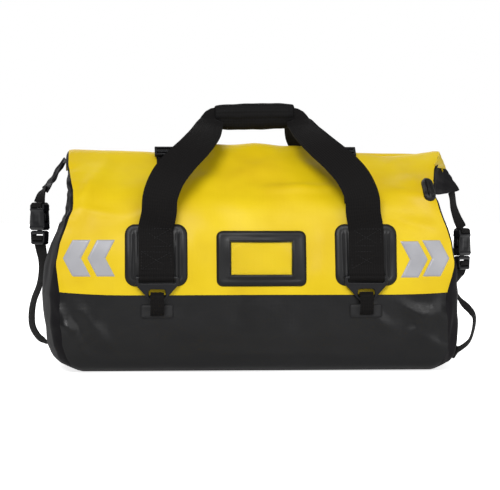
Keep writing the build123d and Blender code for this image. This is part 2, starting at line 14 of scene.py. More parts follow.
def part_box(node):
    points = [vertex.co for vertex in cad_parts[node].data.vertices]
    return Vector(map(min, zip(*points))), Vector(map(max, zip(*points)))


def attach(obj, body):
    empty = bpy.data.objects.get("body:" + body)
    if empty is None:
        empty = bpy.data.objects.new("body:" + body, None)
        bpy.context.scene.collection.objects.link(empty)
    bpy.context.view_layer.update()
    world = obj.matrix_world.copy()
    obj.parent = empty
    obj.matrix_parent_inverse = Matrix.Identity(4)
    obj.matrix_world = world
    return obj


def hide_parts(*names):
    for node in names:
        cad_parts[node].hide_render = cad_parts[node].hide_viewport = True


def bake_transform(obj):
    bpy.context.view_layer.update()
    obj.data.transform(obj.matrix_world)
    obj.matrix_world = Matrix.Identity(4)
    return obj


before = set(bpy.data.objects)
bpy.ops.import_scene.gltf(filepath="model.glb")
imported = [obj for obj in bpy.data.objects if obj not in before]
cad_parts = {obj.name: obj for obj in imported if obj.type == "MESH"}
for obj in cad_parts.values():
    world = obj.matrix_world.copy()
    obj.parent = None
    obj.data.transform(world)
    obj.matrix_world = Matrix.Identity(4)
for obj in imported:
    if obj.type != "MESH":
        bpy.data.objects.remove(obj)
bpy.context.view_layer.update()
MM = 0.001
FACES = (("front", -1), ("rear", 1))
SIDES = (("left", -1), ("right", 1))


# %% [markdown]
# ## Small helpers
# A material is a graph of nodes, so one function adds a node with its settings and links. An operator
# acts on all that is selected, so another clears the selection before each new primitive.

# %% Helpers for nodes, colours and objects
def linear(hex_colour):
    """An sRGB hex colour as linear RGBA."""
    parts = [int(hex_colour[i:i + 2], 16) / 255 for i in (1, 3, 5)]
    return [p / 12.92 if p <= 0.04045 else ((p + 0.055) / 1.055) ** 2.4 for p in parts] + [1.0]


def add(tree, kind, links=None, **settings):
    """Add a node, set its properties or sockets by name, and link {input: (node, output)}."""
    node = tree.nodes.new("ShaderNode" + kind)
    for key, value in settings.items():
        if hasattr(node, key):
            setattr(node, key, value)
        else:
            node.inputs[key.replace("_", " ")].default_value = value
    for key, (source, output) in (links or {}).items():
        tree.links.new(source.outputs[output], node.inputs[key])
    return node


def empty_material(name):
    material = bpy.data.materials.new(name)
    material.use_nodes = True
    material.node_tree.nodes.clear()
    return material, material.node_tree


def deselect():
    if bpy.context.object and bpy.context.object.mode != "OBJECT":
        bpy.ops.object.mode_set(mode="OBJECT")
    bpy.ops.object.select_all(action="DESELECT")


def activate(obj):
    deselect()
    obj.select_set(True)
    bpy.context.view_layer.objects.active = obj


def points_of(obj):
    flat = np.zeros(len(obj.data.vertices) * 3)
    obj.data.vertices.foreach_get("co", flat)
    return flat.reshape(-1, 3)


def set_points(obj, points):
    obj.data.vertices.foreach_set("co", np.asarray(points, float).ravel())
    obj.data.update()


def edit_mesh(obj, operator, **settings):
    """Run one mesh operator on the whole of an object."""
    activate(obj)
    bpy.ops.object.mode_set(mode="EDIT")
    bpy.ops.mesh.select_all(action="SELECT")
    operator(**settings)
    bpy.ops.object.mode_set(mode="OBJECT")


def drop_faces(obj, flags):
    """Delete the faces whose flag is set."""
    activate(obj)
    bpy.ops.object.mode_set(mode="EDIT")
    bpy.ops.mesh.select_all(action="DESELECT")
    bpy.ops.mesh.select_mode(type="FACE")
    bpy.ops.object.mode_set(mode="OBJECT")
    obj.data.polygons.foreach_set("select", flags)
    bpy.ops.object.mode_set(mode="EDIT")
    bpy.ops.mesh.delete(type="FACE")
    bpy.ops.object.mode_set(mode="OBJECT")


def apply_modifier(obj, kind, **settings):
    activate(obj)
    modifier = obj.modifiers.new(kind.title(), kind)
    for key, value in settings.items():
        setattr(modifier, key, value)
    bpy.ops.object.modifier_apply(modifier=modifier.name)


def smooth(obj, angle=60):
    activate(obj)
    bpy.ops.object.shade_smooth_by_angle(angle=math.radians(angle))


def finish_piece(obj, material, slot_name, body="bag", replaces=()):
    """Give a piece its material, its body and the nodes that it stands for; its slot_name is not used."""
    obj.data.materials.clear()
    for one in material if isinstance(material, tuple) else (material,):
        obj.data.materials.append(one)
    if body:
        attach(obj, body)
    if replaces:
        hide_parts(*replaces)
    return obj


def box_of(node):
    """The low and high corners of a node in the frame, in mm."""
    return [np.array(corner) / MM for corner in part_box(node)]


def ridge(value, centre, width, power=2):
    """A smooth ridge: 1 at its centre, and almost nothing at twice its width from there."""
    return np.exp(-(((value - centre) / width) ** power))


def rounded_rim(edge, over):
    """How far a rounded rim has risen, from 0 at the edge to 1 at a distance in from it."""
    return min(edge / over, 1.0) ** 0.5


# %% [markdown]
# ## Finishes
# Tarpaulin is a polyester scrim under PVC. The PVC gives a soft gloss, the scrim a fine grid, and
# handling leaves slow changes of gloss and tone. Webbing is matt woven polyester, and the hardware is
# moulded acetal.

# %% Material maker for coated cloth
WAVE_TURN = 6.2832
SCRIM_MM, SCRIM_DEPTH = 3.0, 0.05


def bands(size_mm):
    """The scale at which a wave texture's bands have a real size."""
    return 1000 / size_mm / WAVE_TURN


def coated_cloth(name, base, shade, light, rough, sheet_depth, coat, specular):
    """PVC-coated cloth. Tone and gloss vary slowly. The scrim is drawn 3 mm apart, coarser than it is, to show."""
    material, tree = empty_material(name)
    at = {"Vector": (add(tree, "TexCoord"), "Object")}
    clouds = add(tree, "TexNoise", at, Scale=9.0, Detail=3.0, Roughness=0.55)
    tone = add(tree, "ValToRGB", {"Fac": (clouds, "Fac")})
    dark, pale = tone.color_ramp.elements
    dark.position, dark.color = 0.3, linear(shade)
    pale.position, pale.color = 0.72, linear(light)
    tone.color_ramp.elements.new(0.5).color = linear(base)
    gloss = add(tree, "MapRange", {"Value": (clouds, "Fac")}, To_Min=rough - 0.05, To_Max=rough + 0.07)
    grid = add(tree, "Math", operation="ADD")
    for k, way in enumerate("XZ"):
        threads = add(tree, "TexWave", at, Scale=bands(SCRIM_MM), Distortion=0.6, bands_direction=way,
                      Detail=1.0)
        tree.links.new(threads.outputs["Fac"], grid.inputs[k])
    fine = add(tree, "Bump", {"Height": (grid, "Value")}, Strength=0.35, Distance=SCRIM_DEPTH * MM)
    slack = add(tree, "TexNoise", at, Scale=26.0, Detail=4.0, Roughness=0.5)
    bump = add(tree, "Bump", {"Height": (slack, "Fac"), "Normal": (fine, "Normal")}, Strength=0.5,
               Distance=sheet_depth * MM)
    shader = add(tree, "BsdfPrincipled", {"Base Color": (tone, "Color"), "Roughness": (gloss, "Result"),
                                          "Normal": (bump, "Normal")},
                 IOR=1.53, Coat_Weight=coat, Coat_Roughness=0.3, Specular_IOR_Level=specular)
    add(tree, "OutputMaterial", {"Surface": (shader, "BSDF")})
    return material


YELLOW = coated_cloth("tarpaulin_yellow_pvc", "#DBBB02", "#D2AF00", "#E3C506", rough=0.46, sheet_depth=1.0,
                      coat=0.03, specular=0.25)
BLACK = coated_cloth("tarpaulin_black_pvc", "#09090B", "#070708", "#0E0E10", rough=0.31, sheet_depth=2.0,
                     coat=0.03, specular=0.32)
END_BLACK = coated_cloth("end_panel_pvc", "#1B1A1C", "#161517", "#222022", rough=0.5, sheet_depth=1.6,
                         coat=0.0, specular=0.05)


# %% Material maker for woven webbing
def woven(name, base, light, row_mm, across_rows, depth, rough):
    """Webbing, matt and ribbed. Its UV runs in metres, u along it and v across it."""
    material, tree = empty_material(name)
    at = {"Vector": (add(tree, "UVMap", uv_map="UVMap"), "UV")}
    scale = bands(row_mm)
    ribs = add(tree, "TexWave", at, Scale=scale, Distortion=1.2, bands_direction="X", Detail=2.0,
               Detail_Scale=3.0)
    cords = add(tree, "TexWave", at, Scale=scale * across_rows, Distortion=0.4, bands_direction="Y")
    both = add(tree, "Math", operation="MULTIPLY_ADD")
    tree.links.new(ribs.outputs["Fac"], both.inputs[0])
    both.inputs[1].default_value = 0.6
    tree.links.new(cords.outputs["Fac"], both.inputs[2])
    fuzz = add(tree, "TexNoise", at, Scale=220.0, Detail=2.0)
    mixed = add(tree, "MixRGB", {"Fac": (both, "Value")}, Color1=linear(base), Color2=linear(light))
    worn = add(tree, "MixRGB", {"Fac": (fuzz, "Fac"), "Color1": (mixed, "Color")}, blend_type="MULTIPLY",
               Color2=(0.72, 0.72, 0.72, 1))
    bump = add(tree, "Bump", {"Height": (both, "Value")}, Strength=0.6, Distance=depth * MM)
    shader = add(tree, "BsdfPrincipled", {"Base Color": (worn, "Color"), "Normal": (bump, "Normal")},
                 Roughness=rough, Sheen_Weight=0.02, Sheen_Roughness=0.5, IOR=1.5, Specular_IOR_Level=0.13)
    add(tree, "OutputMaterial", {"Surface": (shader, "BSDF")})
    return material


WEBBING = woven("webbing_black_polyester", "#080707", "#110F0F", row_mm=2.4, across_rows=1.4, depth=0.35,
                rough=0.75)
GRIP_CLOTH = woven("grip_hook_and_loop_cloth", "#080706", "#0F0E0F", row_mm=2.0, across_rows=1.0, depth=0.3,
                   rough=0.66)


# %% Material maker for moulded and printed plastics
def moulded(name, base, light, rough, grain_mm, depth, metallic=0.0, coat=0.0):
    """Moulded plastic or rubber: a fine eroded texture, with slow random changes of tone and gloss."""
    material, tree = empty_material(name)
    at = {"Vector": (add(tree, "TexCoord"), "Object")}
    grain = add(tree, "TexNoise", at, Scale=1000 / grain_mm, Detail=3.0)
    broad = add(tree, "TexNoise", at, Scale=40.0, Detail=2.0)
    colour = add(tree, "MixRGB", {"Fac": (broad, "Fac")}, Color1=linear(base), Color2=linear(light))
    gloss = add(tree, "MapRange", {"Value": (broad, "Fac")}, To_Min=rough - 0.06, To_Max=rough + 0.06)
    bump = add(tree, "Bump", {"Height": (grain, "Fac")}, Strength=0.4, Distance=depth * MM)
    shader = add(tree, "BsdfPrincipled", {"Base Color": (colour, "Color"), "Roughness": (gloss, "Result"),
                                          "Normal": (bump, "Normal")},
                 Metallic=metallic, Coat_Weight=coat, Specular_IOR_Level=0.32)
    add(tree, "OutputMaterial", {"Surface": (shader, "BSDF")})
    return material


PATCH_PVC = moulded("patch_moulded_pvc", "#0B0B0C", "#101012", 0.42, 1.2, 0.1)
ACETAL = moulded("hardware_black_acetal", "#0E0E11", "#161619", 0.32, 0.8, 0.05)
RUBBER = moulded("valve_black_rubber", "#0D0D0D", "#161616", 0.5, 0.8, 0.1)
# The bevel's film is the grey film made lighter: a painted highlight.
REFLECTIVE_HIGHLIGHT = moulded("reflective_film_bevel_painted_highlight", "#C2C2C7", "#D0D0D5", 0.3, 1.5, 0.05, 0.1, 0.3)
REFLECTIVE = moulded("reflective_film_grey", "#9B9BA0", "#AAAAAF", 0.38, 1.5, 0.15, 0.1, 0.2)
STITCH = moulded("stitching_black_thread", "#121213", "#1F1F21", 0.6, 0.6, 0.05)
FOAM = moulded("grip_foam", "#2C2C2C", "#363636", 0.9, 1.5, 0.3)


def clear_film():
    """Soft PVC film: mostly see-through, with a smooth wet gloss."""
    material, tree = empty_material("card_window_clear_vinyl")
    wobble = add(tree, "TexNoise", {"Vector": (add(tree, "TexCoord"), "Object")}, Scale=30.0, Detail=1.0)
    bump = add(tree, "Bump", {"Height": (wobble, "Fac")}, Strength=0.5, Distance=1.5 * MM)
    shader = add(tree, "BsdfPrincipled", {"Normal": (bump, "Normal")}, Base_Color=linear("#F0DC40"),
                 Roughness=0.08, Alpha=0.07, IOR=1.5, Coat_Weight=0.5, Coat_Roughness=0.03)
    add(tree, "OutputMaterial", {"Surface": (shader, "BSDF")})
    return material


FILM = clear_film()
print("materials", len(bpy.data.materials))

# %% [markdown]
# ## The bag's body
# The filled bag is one soft lofted form. A box is subdivided finely, and every one of its points is then
# moved to where that point of the bag lies. The box's four long sides become the wrap, and its two ends
# become the panels. A reach is how far an end lies from the middle at each height.

# %% Outlines of the filled bag, in millimetres
CREST = 325.0
SEAM = 111.5
LAP = 8.0
SEAM_RISE, SEAM_RISE_FROM, SEAM_RISE_TO, SEAM_RISE_SPAN = 5.0, 190.0, 290.0, 40.0
MIDDLE = np.array([0.0, 150.0])
SECTION = [
    (-112, 0), (112, 0), (143, 4), (151, 42), (153, 108), (147, 178), (133, 236), (104, 268), (72, 290),
    (18, 296), (12, 317), (0, 325), (-17, 324), (-55, 300), (-100, 268), (-133, 236), (-148, 178), (-153, 108),
    (-151, 42), (-143, 4),
]
CORNERS = {"bottom_front": (-132, 8), "bottom_rear": (132, 8), "top_rear": (126, 246),
           "top_front": (-126, 246)}
LEFT_REACH = [
    (0, 276), (8, 291), (22, 301), (38, 308), (75, 312), (111, 315), (150, 311), (185, 302), (208, 292),
    (232, 281), (260, 278), (300, 280), (322, 278), (340, 277),
]
RIGHT_REACH = [
    (0, 276), (8, 288), (22, 298), (38, 302), (75, 303), (111, 302), (150, 294), (185, 289), (205, 282),
    (228, 271), (250, 262), (275, 263), (297, 267), (322, 279), (340, 279),
]
CREST_RISE = [
    (-290, -5), (-272, -4), (-200, -6), (-150, -9), (-100, -4), (-60, 4), (0, 6), (61, 3), (110, -5),
    (153, -9), (190, -12), (238, -10), (272, -5), (290, -5),
]
CREST_RISE_FROM = 255.0
RIM = [(0, 15), (60, 22), (112, 24), (134, 14), (158, 4), (200, 4), (255, 5), (300, 5), (330, 5)]
RIM_TURN = math.radians(30)
LEFT_DOME = [(0, 13), (340, 13)]
RIGHT_DOME = [(0, 22), (100, 22), (150, 12), (340, 12)]
DOME_HALF = 140.0
ON_FACE = 0.9999
FLAT_SHARE = 0.84


def rounded_loop(corners, rounds=4):
    """Cut a closed polygon's corners again and again, which ends as a smooth curve."""
    loop = np.array(corners, float)
    for _ in range(rounds):
        after = np.roll(loop, -1, axis=0)
        loop = np.stack([0.75 * loop + 0.25 * after, 0.25 * loop + 0.75 * after], 1).reshape(-1, 2)
    return loop


def stretch(loop, start, end):
    """The part of the loop from the point nearest start to the one nearest end, with its distances."""
    i = int(np.argmin(np.hypot(*(loop - start).T)))
    j = int(np.argmin(np.hypot(*(loop - end).T)))
    part = loop[i:j + 1] if j > i else np.vstack([loop[i:], loop[:j + 1]])
    steps = np.hypot(*np.diff(part, axis=0).T)
    return part, np.concatenate([[0], np.cumsum(steps)]) / steps.sum()


LOOP = rounded_loop(SECTION)
STRETCHES = {
    "bottom": stretch(LOOP, CORNERS["bottom_front"], CORNERS["bottom_rear"]),
    "rear": stretch(LOOP, CORNERS["bottom_rear"], CORNERS["top_rear"]),
    "top": stretch(LOOP, CORNERS["top_rear"], CORNERS["top_front"]),
    "front": stretch(LOOP, CORNERS["top_front"], CORNERS["bottom_front"]),
}


def curve_at(pairs, where):
    keys, values = zip(*pairs)
    return np.interp(where, keys, values)


def along(name, share):
    part, marks = STRETCHES[name]
    return np.stack([np.interp(share, marks, part[:, 0]), np.interp(share, marks, part[:, 1])], -1)


def end_reach(side, yz):
    """How far the end panel lies from the middle: a dome that is fullest half way across."""
    table = np.where(side < 0, curve_at(LEFT_REACH, yz[:, 1]), curve_at(RIGHT_REACH, yz[:, 1]))
    dome = np.where(side < 0, curve_at(LEFT_DOME, yz[:, 1]), curve_at(RIGHT_DOME, yz[:, 1]))
    return table - dome * (yz[:, 0] / DOME_HALF) ** 2


def bag_point(cube):
    """Where each point of the unit box lies on the bag, in millimetres."""
    a, b, c = cube.T
    f = np.maximum(np.abs(b), np.abs(c)).clip(1e-6, None)
    rb, rc = b / f, c / f
    p = np.zeros((len(cube), 2))
    upright = np.abs(rc) < ON_FACE
    for name, mask, share in (
        ("bottom", rc <= -ON_FACE, (rb + 1) / 2),
        ("top", rc >= ON_FACE, (1 - rb) / 2),
        ("rear", (rb >= ON_FACE) & upright, (rc + 1) / 2),
        ("front", (rb <= -ON_FACE) & upright, (1 - rc) / 2),
    ):
        p[mask] = along(name, share[mask])
    side = np.sign(a)
    reach = end_reach(side, p)
    rim = curve_at(RIM, p[:, 1])
    seam_x = reach - rim * (1 - math.sin(RIM_TURN))
    x = np.abs(a) * seam_x
    deep = (x - (reach - rim)).clip(0, None)
    turn = np.arcsin((deep / rim).clip(0, 1))
    inset = rim * (1 - np.cos(turn))
    end = np.abs(a) > ON_FACE
    inside = end & (f < FLAT_SHARE)
    cap = ((1 - f) / (1 - FLAT_SHARE)).clip(0, 1)
    cap_turn = RIM_TURN + (math.pi / 2 - RIM_TURN) * cap
    inset = np.where(end, rim * (1 - np.cos(cap_turn)), inset)
    x = np.where(end, reach - rim * (1 - np.sin(cap_turn)), x)
    out = p - MIDDLE
    length = np.hypot(*out.T)
    q = MIDDLE + out * (1 - inset / length)[:, None]
    inner = (f / FLAT_SHARE).clip(0, 1)
    q = np.where(inside[:, None], MIDDLE + (q - MIDDLE) * inner[:, None], q)
    x = np.where(inside, end_reach(side, q), x)
    x = np.where(end & ~inside, x + (end_reach(side, q) - reach) * cap, x)
    x = side * x
    high = ((q[:, 1] - CREST_RISE_FROM) / (CREST - CREST_RISE_FROM)).clip(0, 1)
    q[:, 1] += curve_at(CREST_RISE, x) * high * high * (3 - 2 * high)
    return np.stack([x, q[:, 0], q[:, 1]], -1)


# %% Creases and slack of the coated cloth
FRONT_FOLDS = [  # from (x, z), to (x, z), width, depth
    ((0, 262), (125, 264), 6, 3.2), ((-60, 270), (30, 300), 12, 2.6), ((60, 300), (118, 270), 10, 3.0),
    ((-250, 250), (-215, 310), 9, 3.2), ((-262, 210), (-240, 290), 7, 3.0), ((-270, 235), (-205, 225), 7, 2.4),
    ((205, 300), (262, 215), 11, 4.0), ((190, 262), (262, 240), 8, 3.0), ((175, 225), (255, 205), 9, -2.6),
    ((-120, 258), (-205, 212), 10, 2.6), ((-100, 205), (-84, 130), 8, 1.8), ((90, 205), (84, 130), 8, 1.8),
    ((-292, 100), (-245, 12), 6, 5.0), ((-262, 96), (-215, 30), 9, 4.0), ((-300, 70), (-262, 60), 7, 3.5),
    ((272, 104), (262, 6), 5, 5.0), ((288, 80), (276, 10), 4, 4.0), ((258, 96), (205, 40), 10, 4.0),
    ((215, 92), (252, 78), 9, 3.5), ((-120, 60), (120, 50), 16, 1.8), ((-70, 28), (150, 22), 10, 1.8),
    ((120, 88), (205, 60), 12, 2.2), ((-205, 66), (-120, 84), 12, 2.2),
    ((150, 100), (180, 62), 5, 2.6), ((238, 66), (200, 100), 6, 3.0), ((225, 58), (264, 30), 6, 3.0),
    ((-234, 98), (-224, 40), 5, 2.6), ((-262, 40), (-236, 70), 6, 2.6), ((250, 100), (268, 60), 5, 2.6),
]
REAR_FOLD_SHARE = 0.8
SLACK = [(3.4, 95.0, 3.1), (2.0, 38.0, 9.7)]  # depth, size, seed
GATHER_X, GATHER_WIDTH, GATHER_DEPTH = -285, 20, 7.0
GATHER_LOW, GATHER_HIGH = 200, 308
GATHER_STRETCH = np.array([0.35, 0.35, 1.0])
FLAT_BELOW, SLACK_FULL_OVER = 6, 22
FORM_CUTS = 79


def wave_noise(points, size, seed):
    return np.array([noise.noise(Vector((p[0] / size, p[1] / size + seed, p[2] / size))) for p in points])


def fold(points, start, end, width, depth):
    """A soft crease from start to end in the X-Z view of the front: how far each point moves out."""
    s, e = np.array(start, float), np.array(end, float)
    line = e - s
    flat = points[:, [0, 2]] - s
    share = (flat @ line / (line @ line)).clip(0, 1)
    away = np.hypot(*(flat - share[:, None] * line).T)
    fade = np.sin(np.pi * share.clip(0.02, 0.98)) ** 0.5
    return depth * fade * ridge(away, 0, width)


def soften(points, normals):
    """Move the points of the bag along their normals by its folds and slack, and keep the floor flat."""
    shift = sum(depth * wave_noise(points, size, seed) for depth, size, seed in SLACK)
    front = points[:, 1] < 0
    mirrored = points * np.array([-1, 1, 1])
    for crease in FRONT_FOLDS:
        shift = shift + np.where(front, fold(points, *crease), REAR_FOLD_SHARE * fold(mirrored, *crease))
    x, z = points[:, 0], points[:, 2]
    gathered = ridge(x, GATHER_X, GATHER_WIDTH) * ((z - GATHER_LOW) / 20).clip(0, 1)
    gathered = gathered * ((GATHER_HIGH - z) / 20).clip(0, 1)
    shift = shift + gathered * GATHER_DEPTH * wave_noise(points * GATHER_STRETCH, 15.0, 21.3)
    above = ((z - FLAT_BELOW) / SLACK_FULL_OVER).clip(0, 1)
    return points + normals * (shift * above)[:, None]


def make_body():
    deselect()
    bpy.ops.mesh.primitive_cube_add(size=2)
    body = bpy.context.object
    body.name = "bag_form"
    edit_mesh(body, bpy.ops.mesh.subdivide, number_cuts=FORM_CUTS)
    cube = points_of(body)
    body.data.attributes.new("end_share", "FLOAT", "POINT").data.foreach_set("value", np.abs(cube[:, 0]))
    placed = bag_point(cube)
    set_points(body, placed)
    edit_mesh(body, bpy.ops.mesh.normals_make_consistent, inside=False)
    flat = np.zeros(len(placed) * 3)
    body.data.vertices.foreach_get("normal", flat)
    set_points(body, soften(placed, flat.reshape(-1, 3)) * MM)
    return body


BODY = make_body()
print("bag form points", len(BODY.data.vertices))

# %% [markdown]
# ## Where the surface is
# Patches, straps and prints lie on the cloth. A ray sent at the bag finds the surface and its slope
# there.

# %% Finding the bag's surface
BODY_TREE = BVHTree.FromObject(BODY, bpy.context.evaluated_depsgraph_get())


def surface(start, way, lift, near=None):
    """Where a ray along -way meets the bag, raised by lift, and the slope there. In mm, facing way."""
    hit, normal, _, _ = BODY_TREE.ray_cast(start * MM, -way)
    if hit is None:
        hit, normal, _, _ = BODY_TREE.find_nearest(near * MM)
    if normal.dot(way) < 0:
        normal = -normal
    return np.array(hit) / MM + np.array(normal) * lift, np.array(normal)


def on_face(x, z, side, lift):
    """The front (side -1) or rear (side 1) at x, z. Past the edge it is the nearest point."""
    return surface(Vector((x, side * 400.0, z)), Vector((0, side, 0)), lift, Vector((x, side * 140.0, z)))


def on_end(y, z, side, lift):
    return surface(Vector((side * 500.0, y, z)), Vector((side, 0, 0)), lift)


def over_top(x, angle, lift):
    """Over the crest at x, seen from the bag's middle at an angle from straight up, front positive."""
    a = math.radians(angle)
    way = Vector((0, -math.sin(a), math.cos(a)))
    return surface(Vector((x, 0, 200.0)) + way * 500.0, way, lift)


# %% [markdown]
# ## The three panels of cloth
# The form is copied once for each panel and cut at its seams. The yellow wrap laps over the black base,
# as the welded seam does, so the base runs on a little way behind it.

# %% Cutting the panels out of the form
def raise_seam(obj):
    """Lift the seam a little towards the ends, where the full bag pulls it up."""
    points = points_of(obj)
    outer = (np.abs(points[:, 0]) / MM - SEAM_RISE_FROM) / (SEAM_RISE_TO - SEAM_RISE_FROM)
    near = ridge(points[:, 2] / MM, SEAM, SEAM_RISE_SPAN)
    points[:, 2] += SEAM_RISE * MM * outer.clip(0, 1) ** 2 * near
    set_points(obj, points)


def panel(name, keep_end=0, low=None, high=None, thick=1.0, offset=-1.0):
    """One end of the form (-1 or 1), or what joins the ends (0), between two heights, with thickness."""
    obj = BODY.copy()
    obj.data = BODY.data.copy()
    obj.name = name
    bpy.context.collection.objects.link(obj)
    share = np.zeros(len(obj.data.vertices))
    obj.data.attributes["end_share"].data.foreach_get("value", share)
    drop = []
    for face in obj.data.polygons:
        is_end = all(share[v] > ON_FACE for v in face.vertices)
        drop.append(is_end != bool(keep_end) or face.center.x * keep_end < 0)
    drop_faces(obj, drop)
    for height, below in ((low, True), (high, False)):
        if height is not None:
            edit_mesh(obj, bpy.ops.mesh.bisect, plane_co=(0, 0, height * MM), plane_no=(0, 0, 1),
                      clear_inner=below, clear_outer=not below)
    if not keep_end:
        raise_seam(obj)
    apply_modifier(obj, "SOLIDIFY", thickness=thick * MM, offset=offset)
    smooth(obj)
    return obj


finish_piece(panel("bag_upper_wrap", low=SEAM, thick=1.1, offset=1.0), YELLOW, "tarpaulin_yellow",
             replaces=("upper_shell", "seam_tape_front", "seam_tape_rear"))
finish_piece(panel("bag_base", high=SEAM + LAP), BLACK, "tarpaulin_black", replaces=("base_shell",))
for end_name, side in SIDES:
    finish_piece(panel(f"bag_end_{end_name}", side), END_BLACK, "end_tarpaulin",
                 replaces=(f"end_panel_{end_name}",))

# %% [markdown]
# ## Sheets that follow a rule
# A strap or patch is a grid whose rows and columns are given places by a rule, then thickened. Its UV map
# runs in metres, so that a weave has its real size on it.

# %% Grid pieces and straps
def grid_piece(name, rows, columns, place, thick, offset=0.0, uv_size=None):
    """A grid of rows by columns; place(i, j) gives each point in mm. uv_size(i, j) gives its UV in metres."""
    deselect()
    bpy.ops.mesh.primitive_grid_add(x_subdivisions=rows - 1, y_subdivisions=columns - 1, size=2)
    obj = bpy.context.object
    obj.name = name
    obj.data.name = name
    start = points_of(obj)
    i = np.rint((start[:, 0] + 1) / 2 * (rows - 1)).astype(int)
    j = np.rint((start[:, 1] + 1) / 2 * (columns - 1)).astype(int)
    set_points(obj, np.array([place(a, b) for a, b in zip(i, j)]) * MM)
    if uv_size:
        layer = obj.data.uv_layers[0]
        layer.name = "UVMap"
        for loop in obj.data.loops:
            layer.data[loop.index].uv = uv_size(i[loop.vertex_index], j[loop.vertex_index])
    if thick:
        apply_modifier(obj, "SOLIDIFY", thickness=thick * MM, offset=offset)
    smooth(obj)
    return obj


def smooth_path(points, per_span=8):
    """A Catmull-Rom curve through the points."""
    pts = np.array(points, float)
    pts = np.vstack([2 * pts[0] - pts[1], pts, 2 * pts[-1] - pts[-2]])
    out = []
    for k in range(1, len(pts) - 2):
        p0, p1, p2, p3 = pts[k - 1:k + 3]
        for s in np.linspace(0, 1, per_span, endpoint=False):
            out.append(0.5 * (2 * p1 + (p2 - p0) * s + (2 * p0 - 5 * p1 + 4 * p2 - p3) * s**2
                              + (3 * p1 - p0 - 3 * p2 + p3) * s**3))
    out.append(pts[-2])
    return np.array(out)


STRAP_CROWN = 0.35


def strap(name, path, facing, width, thick, widths=None, columns=7):
    """Webbing along a path in mm. facing is the way its outer face looks at each point."""
    path = np.array(path, float)
    facing = np.array(facing, float)
    run = np.gradient(path, axis=0)
    run /= np.linalg.norm(run, axis=1)[:, None]
    across = np.cross(run, facing)
    across /= np.linalg.norm(across, axis=1)[:, None]
    level = np.cross(across, run)
    far = np.concatenate([[0], np.cumsum(np.linalg.norm(np.diff(path, axis=0), axis=1))])
    width_at = np.full(len(path), float(width)) if widths is None else np.array(widths, float)

    def place(i, j):
        s = j / (columns - 1) * 2 - 1
        edge = STRAP_CROWN * (1 - s * s)
        return path[i] + across[i] * s * width_at[i] / 2 + level[i] * edge

    def uv(i, j):
        return far[i] * MM, (j / (columns - 1) - 0.5) * width * MM

    return grid_piece(name, len(path), columns, place, thick, uv_size=uv)


# %% [markdown]
# ## Moulded patches
# Each handle is sewn over a moulded PVC patch with rounded corners and raised ribs beside the webbing.
# The card window's frame is moulded the same way, with a real opening for the clear film.

# %% Patches, the card frame and its film
EDGES = (0.0, 0.6, 1.4, 2.6, 4.0)
HANDLE_X = 150.0
PATCH_Z, PATCH_HALF_X, PATCH_HALF_Z = 168.0, 43.5, 43.0
PATCH_RIBS, RIB_HALF, RIB_WIDTH, RIB_RISE = (-33.0, -28.5, 28.5, 33.0), 32, 1.1, 1.1
PLATE_RISE, PLATE_THICK = 2.6, 1.4
CARD_Z = 163.0
FRAME_HALF, WINDOW_HALF, WINDOW_LIP = (63.3, 38.5), (44.3, 23.8), (0.0, 0.7, 1.9)


def steps(half, edges, inner):
    """Grid lines across a plate: close together at its edges, even between."""
    rim = [half - e for e in edges]
    inside = list(np.linspace(-rim[-1], rim[-1], inner + 2)[1:-1])
    return np.array(sorted([-r for r in rim] + inside + rim))


def round_corner(u, v, half_u, half_v, radius):
    """Pull a point of a rectangle in to its rounded corner. Also gives its way in from the rim."""
    edge = min(half_u - abs(u), half_v - abs(v))
    cu, cv = abs(u) - (half_u - radius), abs(v) - (half_v - radius)
    if cu > 0 and cv > 0:
        pull = max(cu, cv) / math.hypot(cu, cv)
        edge = radius - max(cu, cv)
        u = math.copysign(half_u - radius + cu * pull, u)
        v = math.copysign(half_v - radius + cv * pull, v)
    return u, v, edge


def plate(name, x0, z0, side, us, vs, radius, height, material, slot_name, hole=None, replaces=()):
    """A moulded plate on the bag's face. height(u, v, edge) is how far it stands out at each point."""
    def place(i, j):
        u, v, edge = round_corner(us[i], vs[j], us[-1], vs[-1], radius)
        return on_face(x0 + u, z0 + v, side, height(u, v, edge))[0]

    obj = grid_piece(name, len(us), len(vs), place, 0)
    if hole:
        centres = [face.center / MM for face in obj.data.polygons]
        drop_faces(obj, [abs(c.x - x0) < hole[0] and abs(c.z - z0) < hole[1] for c in centres])
    if side < 0:
        edit_mesh(obj, bpy.ops.mesh.flip_normals)
    apply_modifier(obj, "SOLIDIFY", thickness=PLATE_THICK * MM, offset=-1.0)
    smooth(obj, 40)
    return finish_piece(obj, material, slot_name, replaces=replaces)


def patch_height(u, v, edge):
    rise = PLATE_RISE * rounded_rim(edge, 1.6)
    if abs(v) < RIB_HALF:
        rise += sum(RIB_RISE * ridge(u, rib, RIB_WIDTH) for rib in PATCH_RIBS)
    return rise + 0.9 * ridge(edge, 5.0, 1.6)


def frame_height(u, v, edge):
    inner = max(abs(u) - WINDOW_HALF[0], abs(v) - WINDOW_HALF[1])
    rise = PLATE_RISE * rounded_rim(edge, 1.6) + ridge(edge, 4.5, 1.8) + 0.9 * ridge(inner, 2.0, 1.4)
    return rise - (1.2 if inner < 0.3 else 0.0)


def frame_lines(half, window, inner):
    """A plate's grid lines with three more on each side, where its window begins."""
    extra = [s * (window + out) for s in (-1, 1) for out in WINDOW_LIP]
    return np.array(sorted(set(list(steps(half, EDGES, inner)) + extra)))


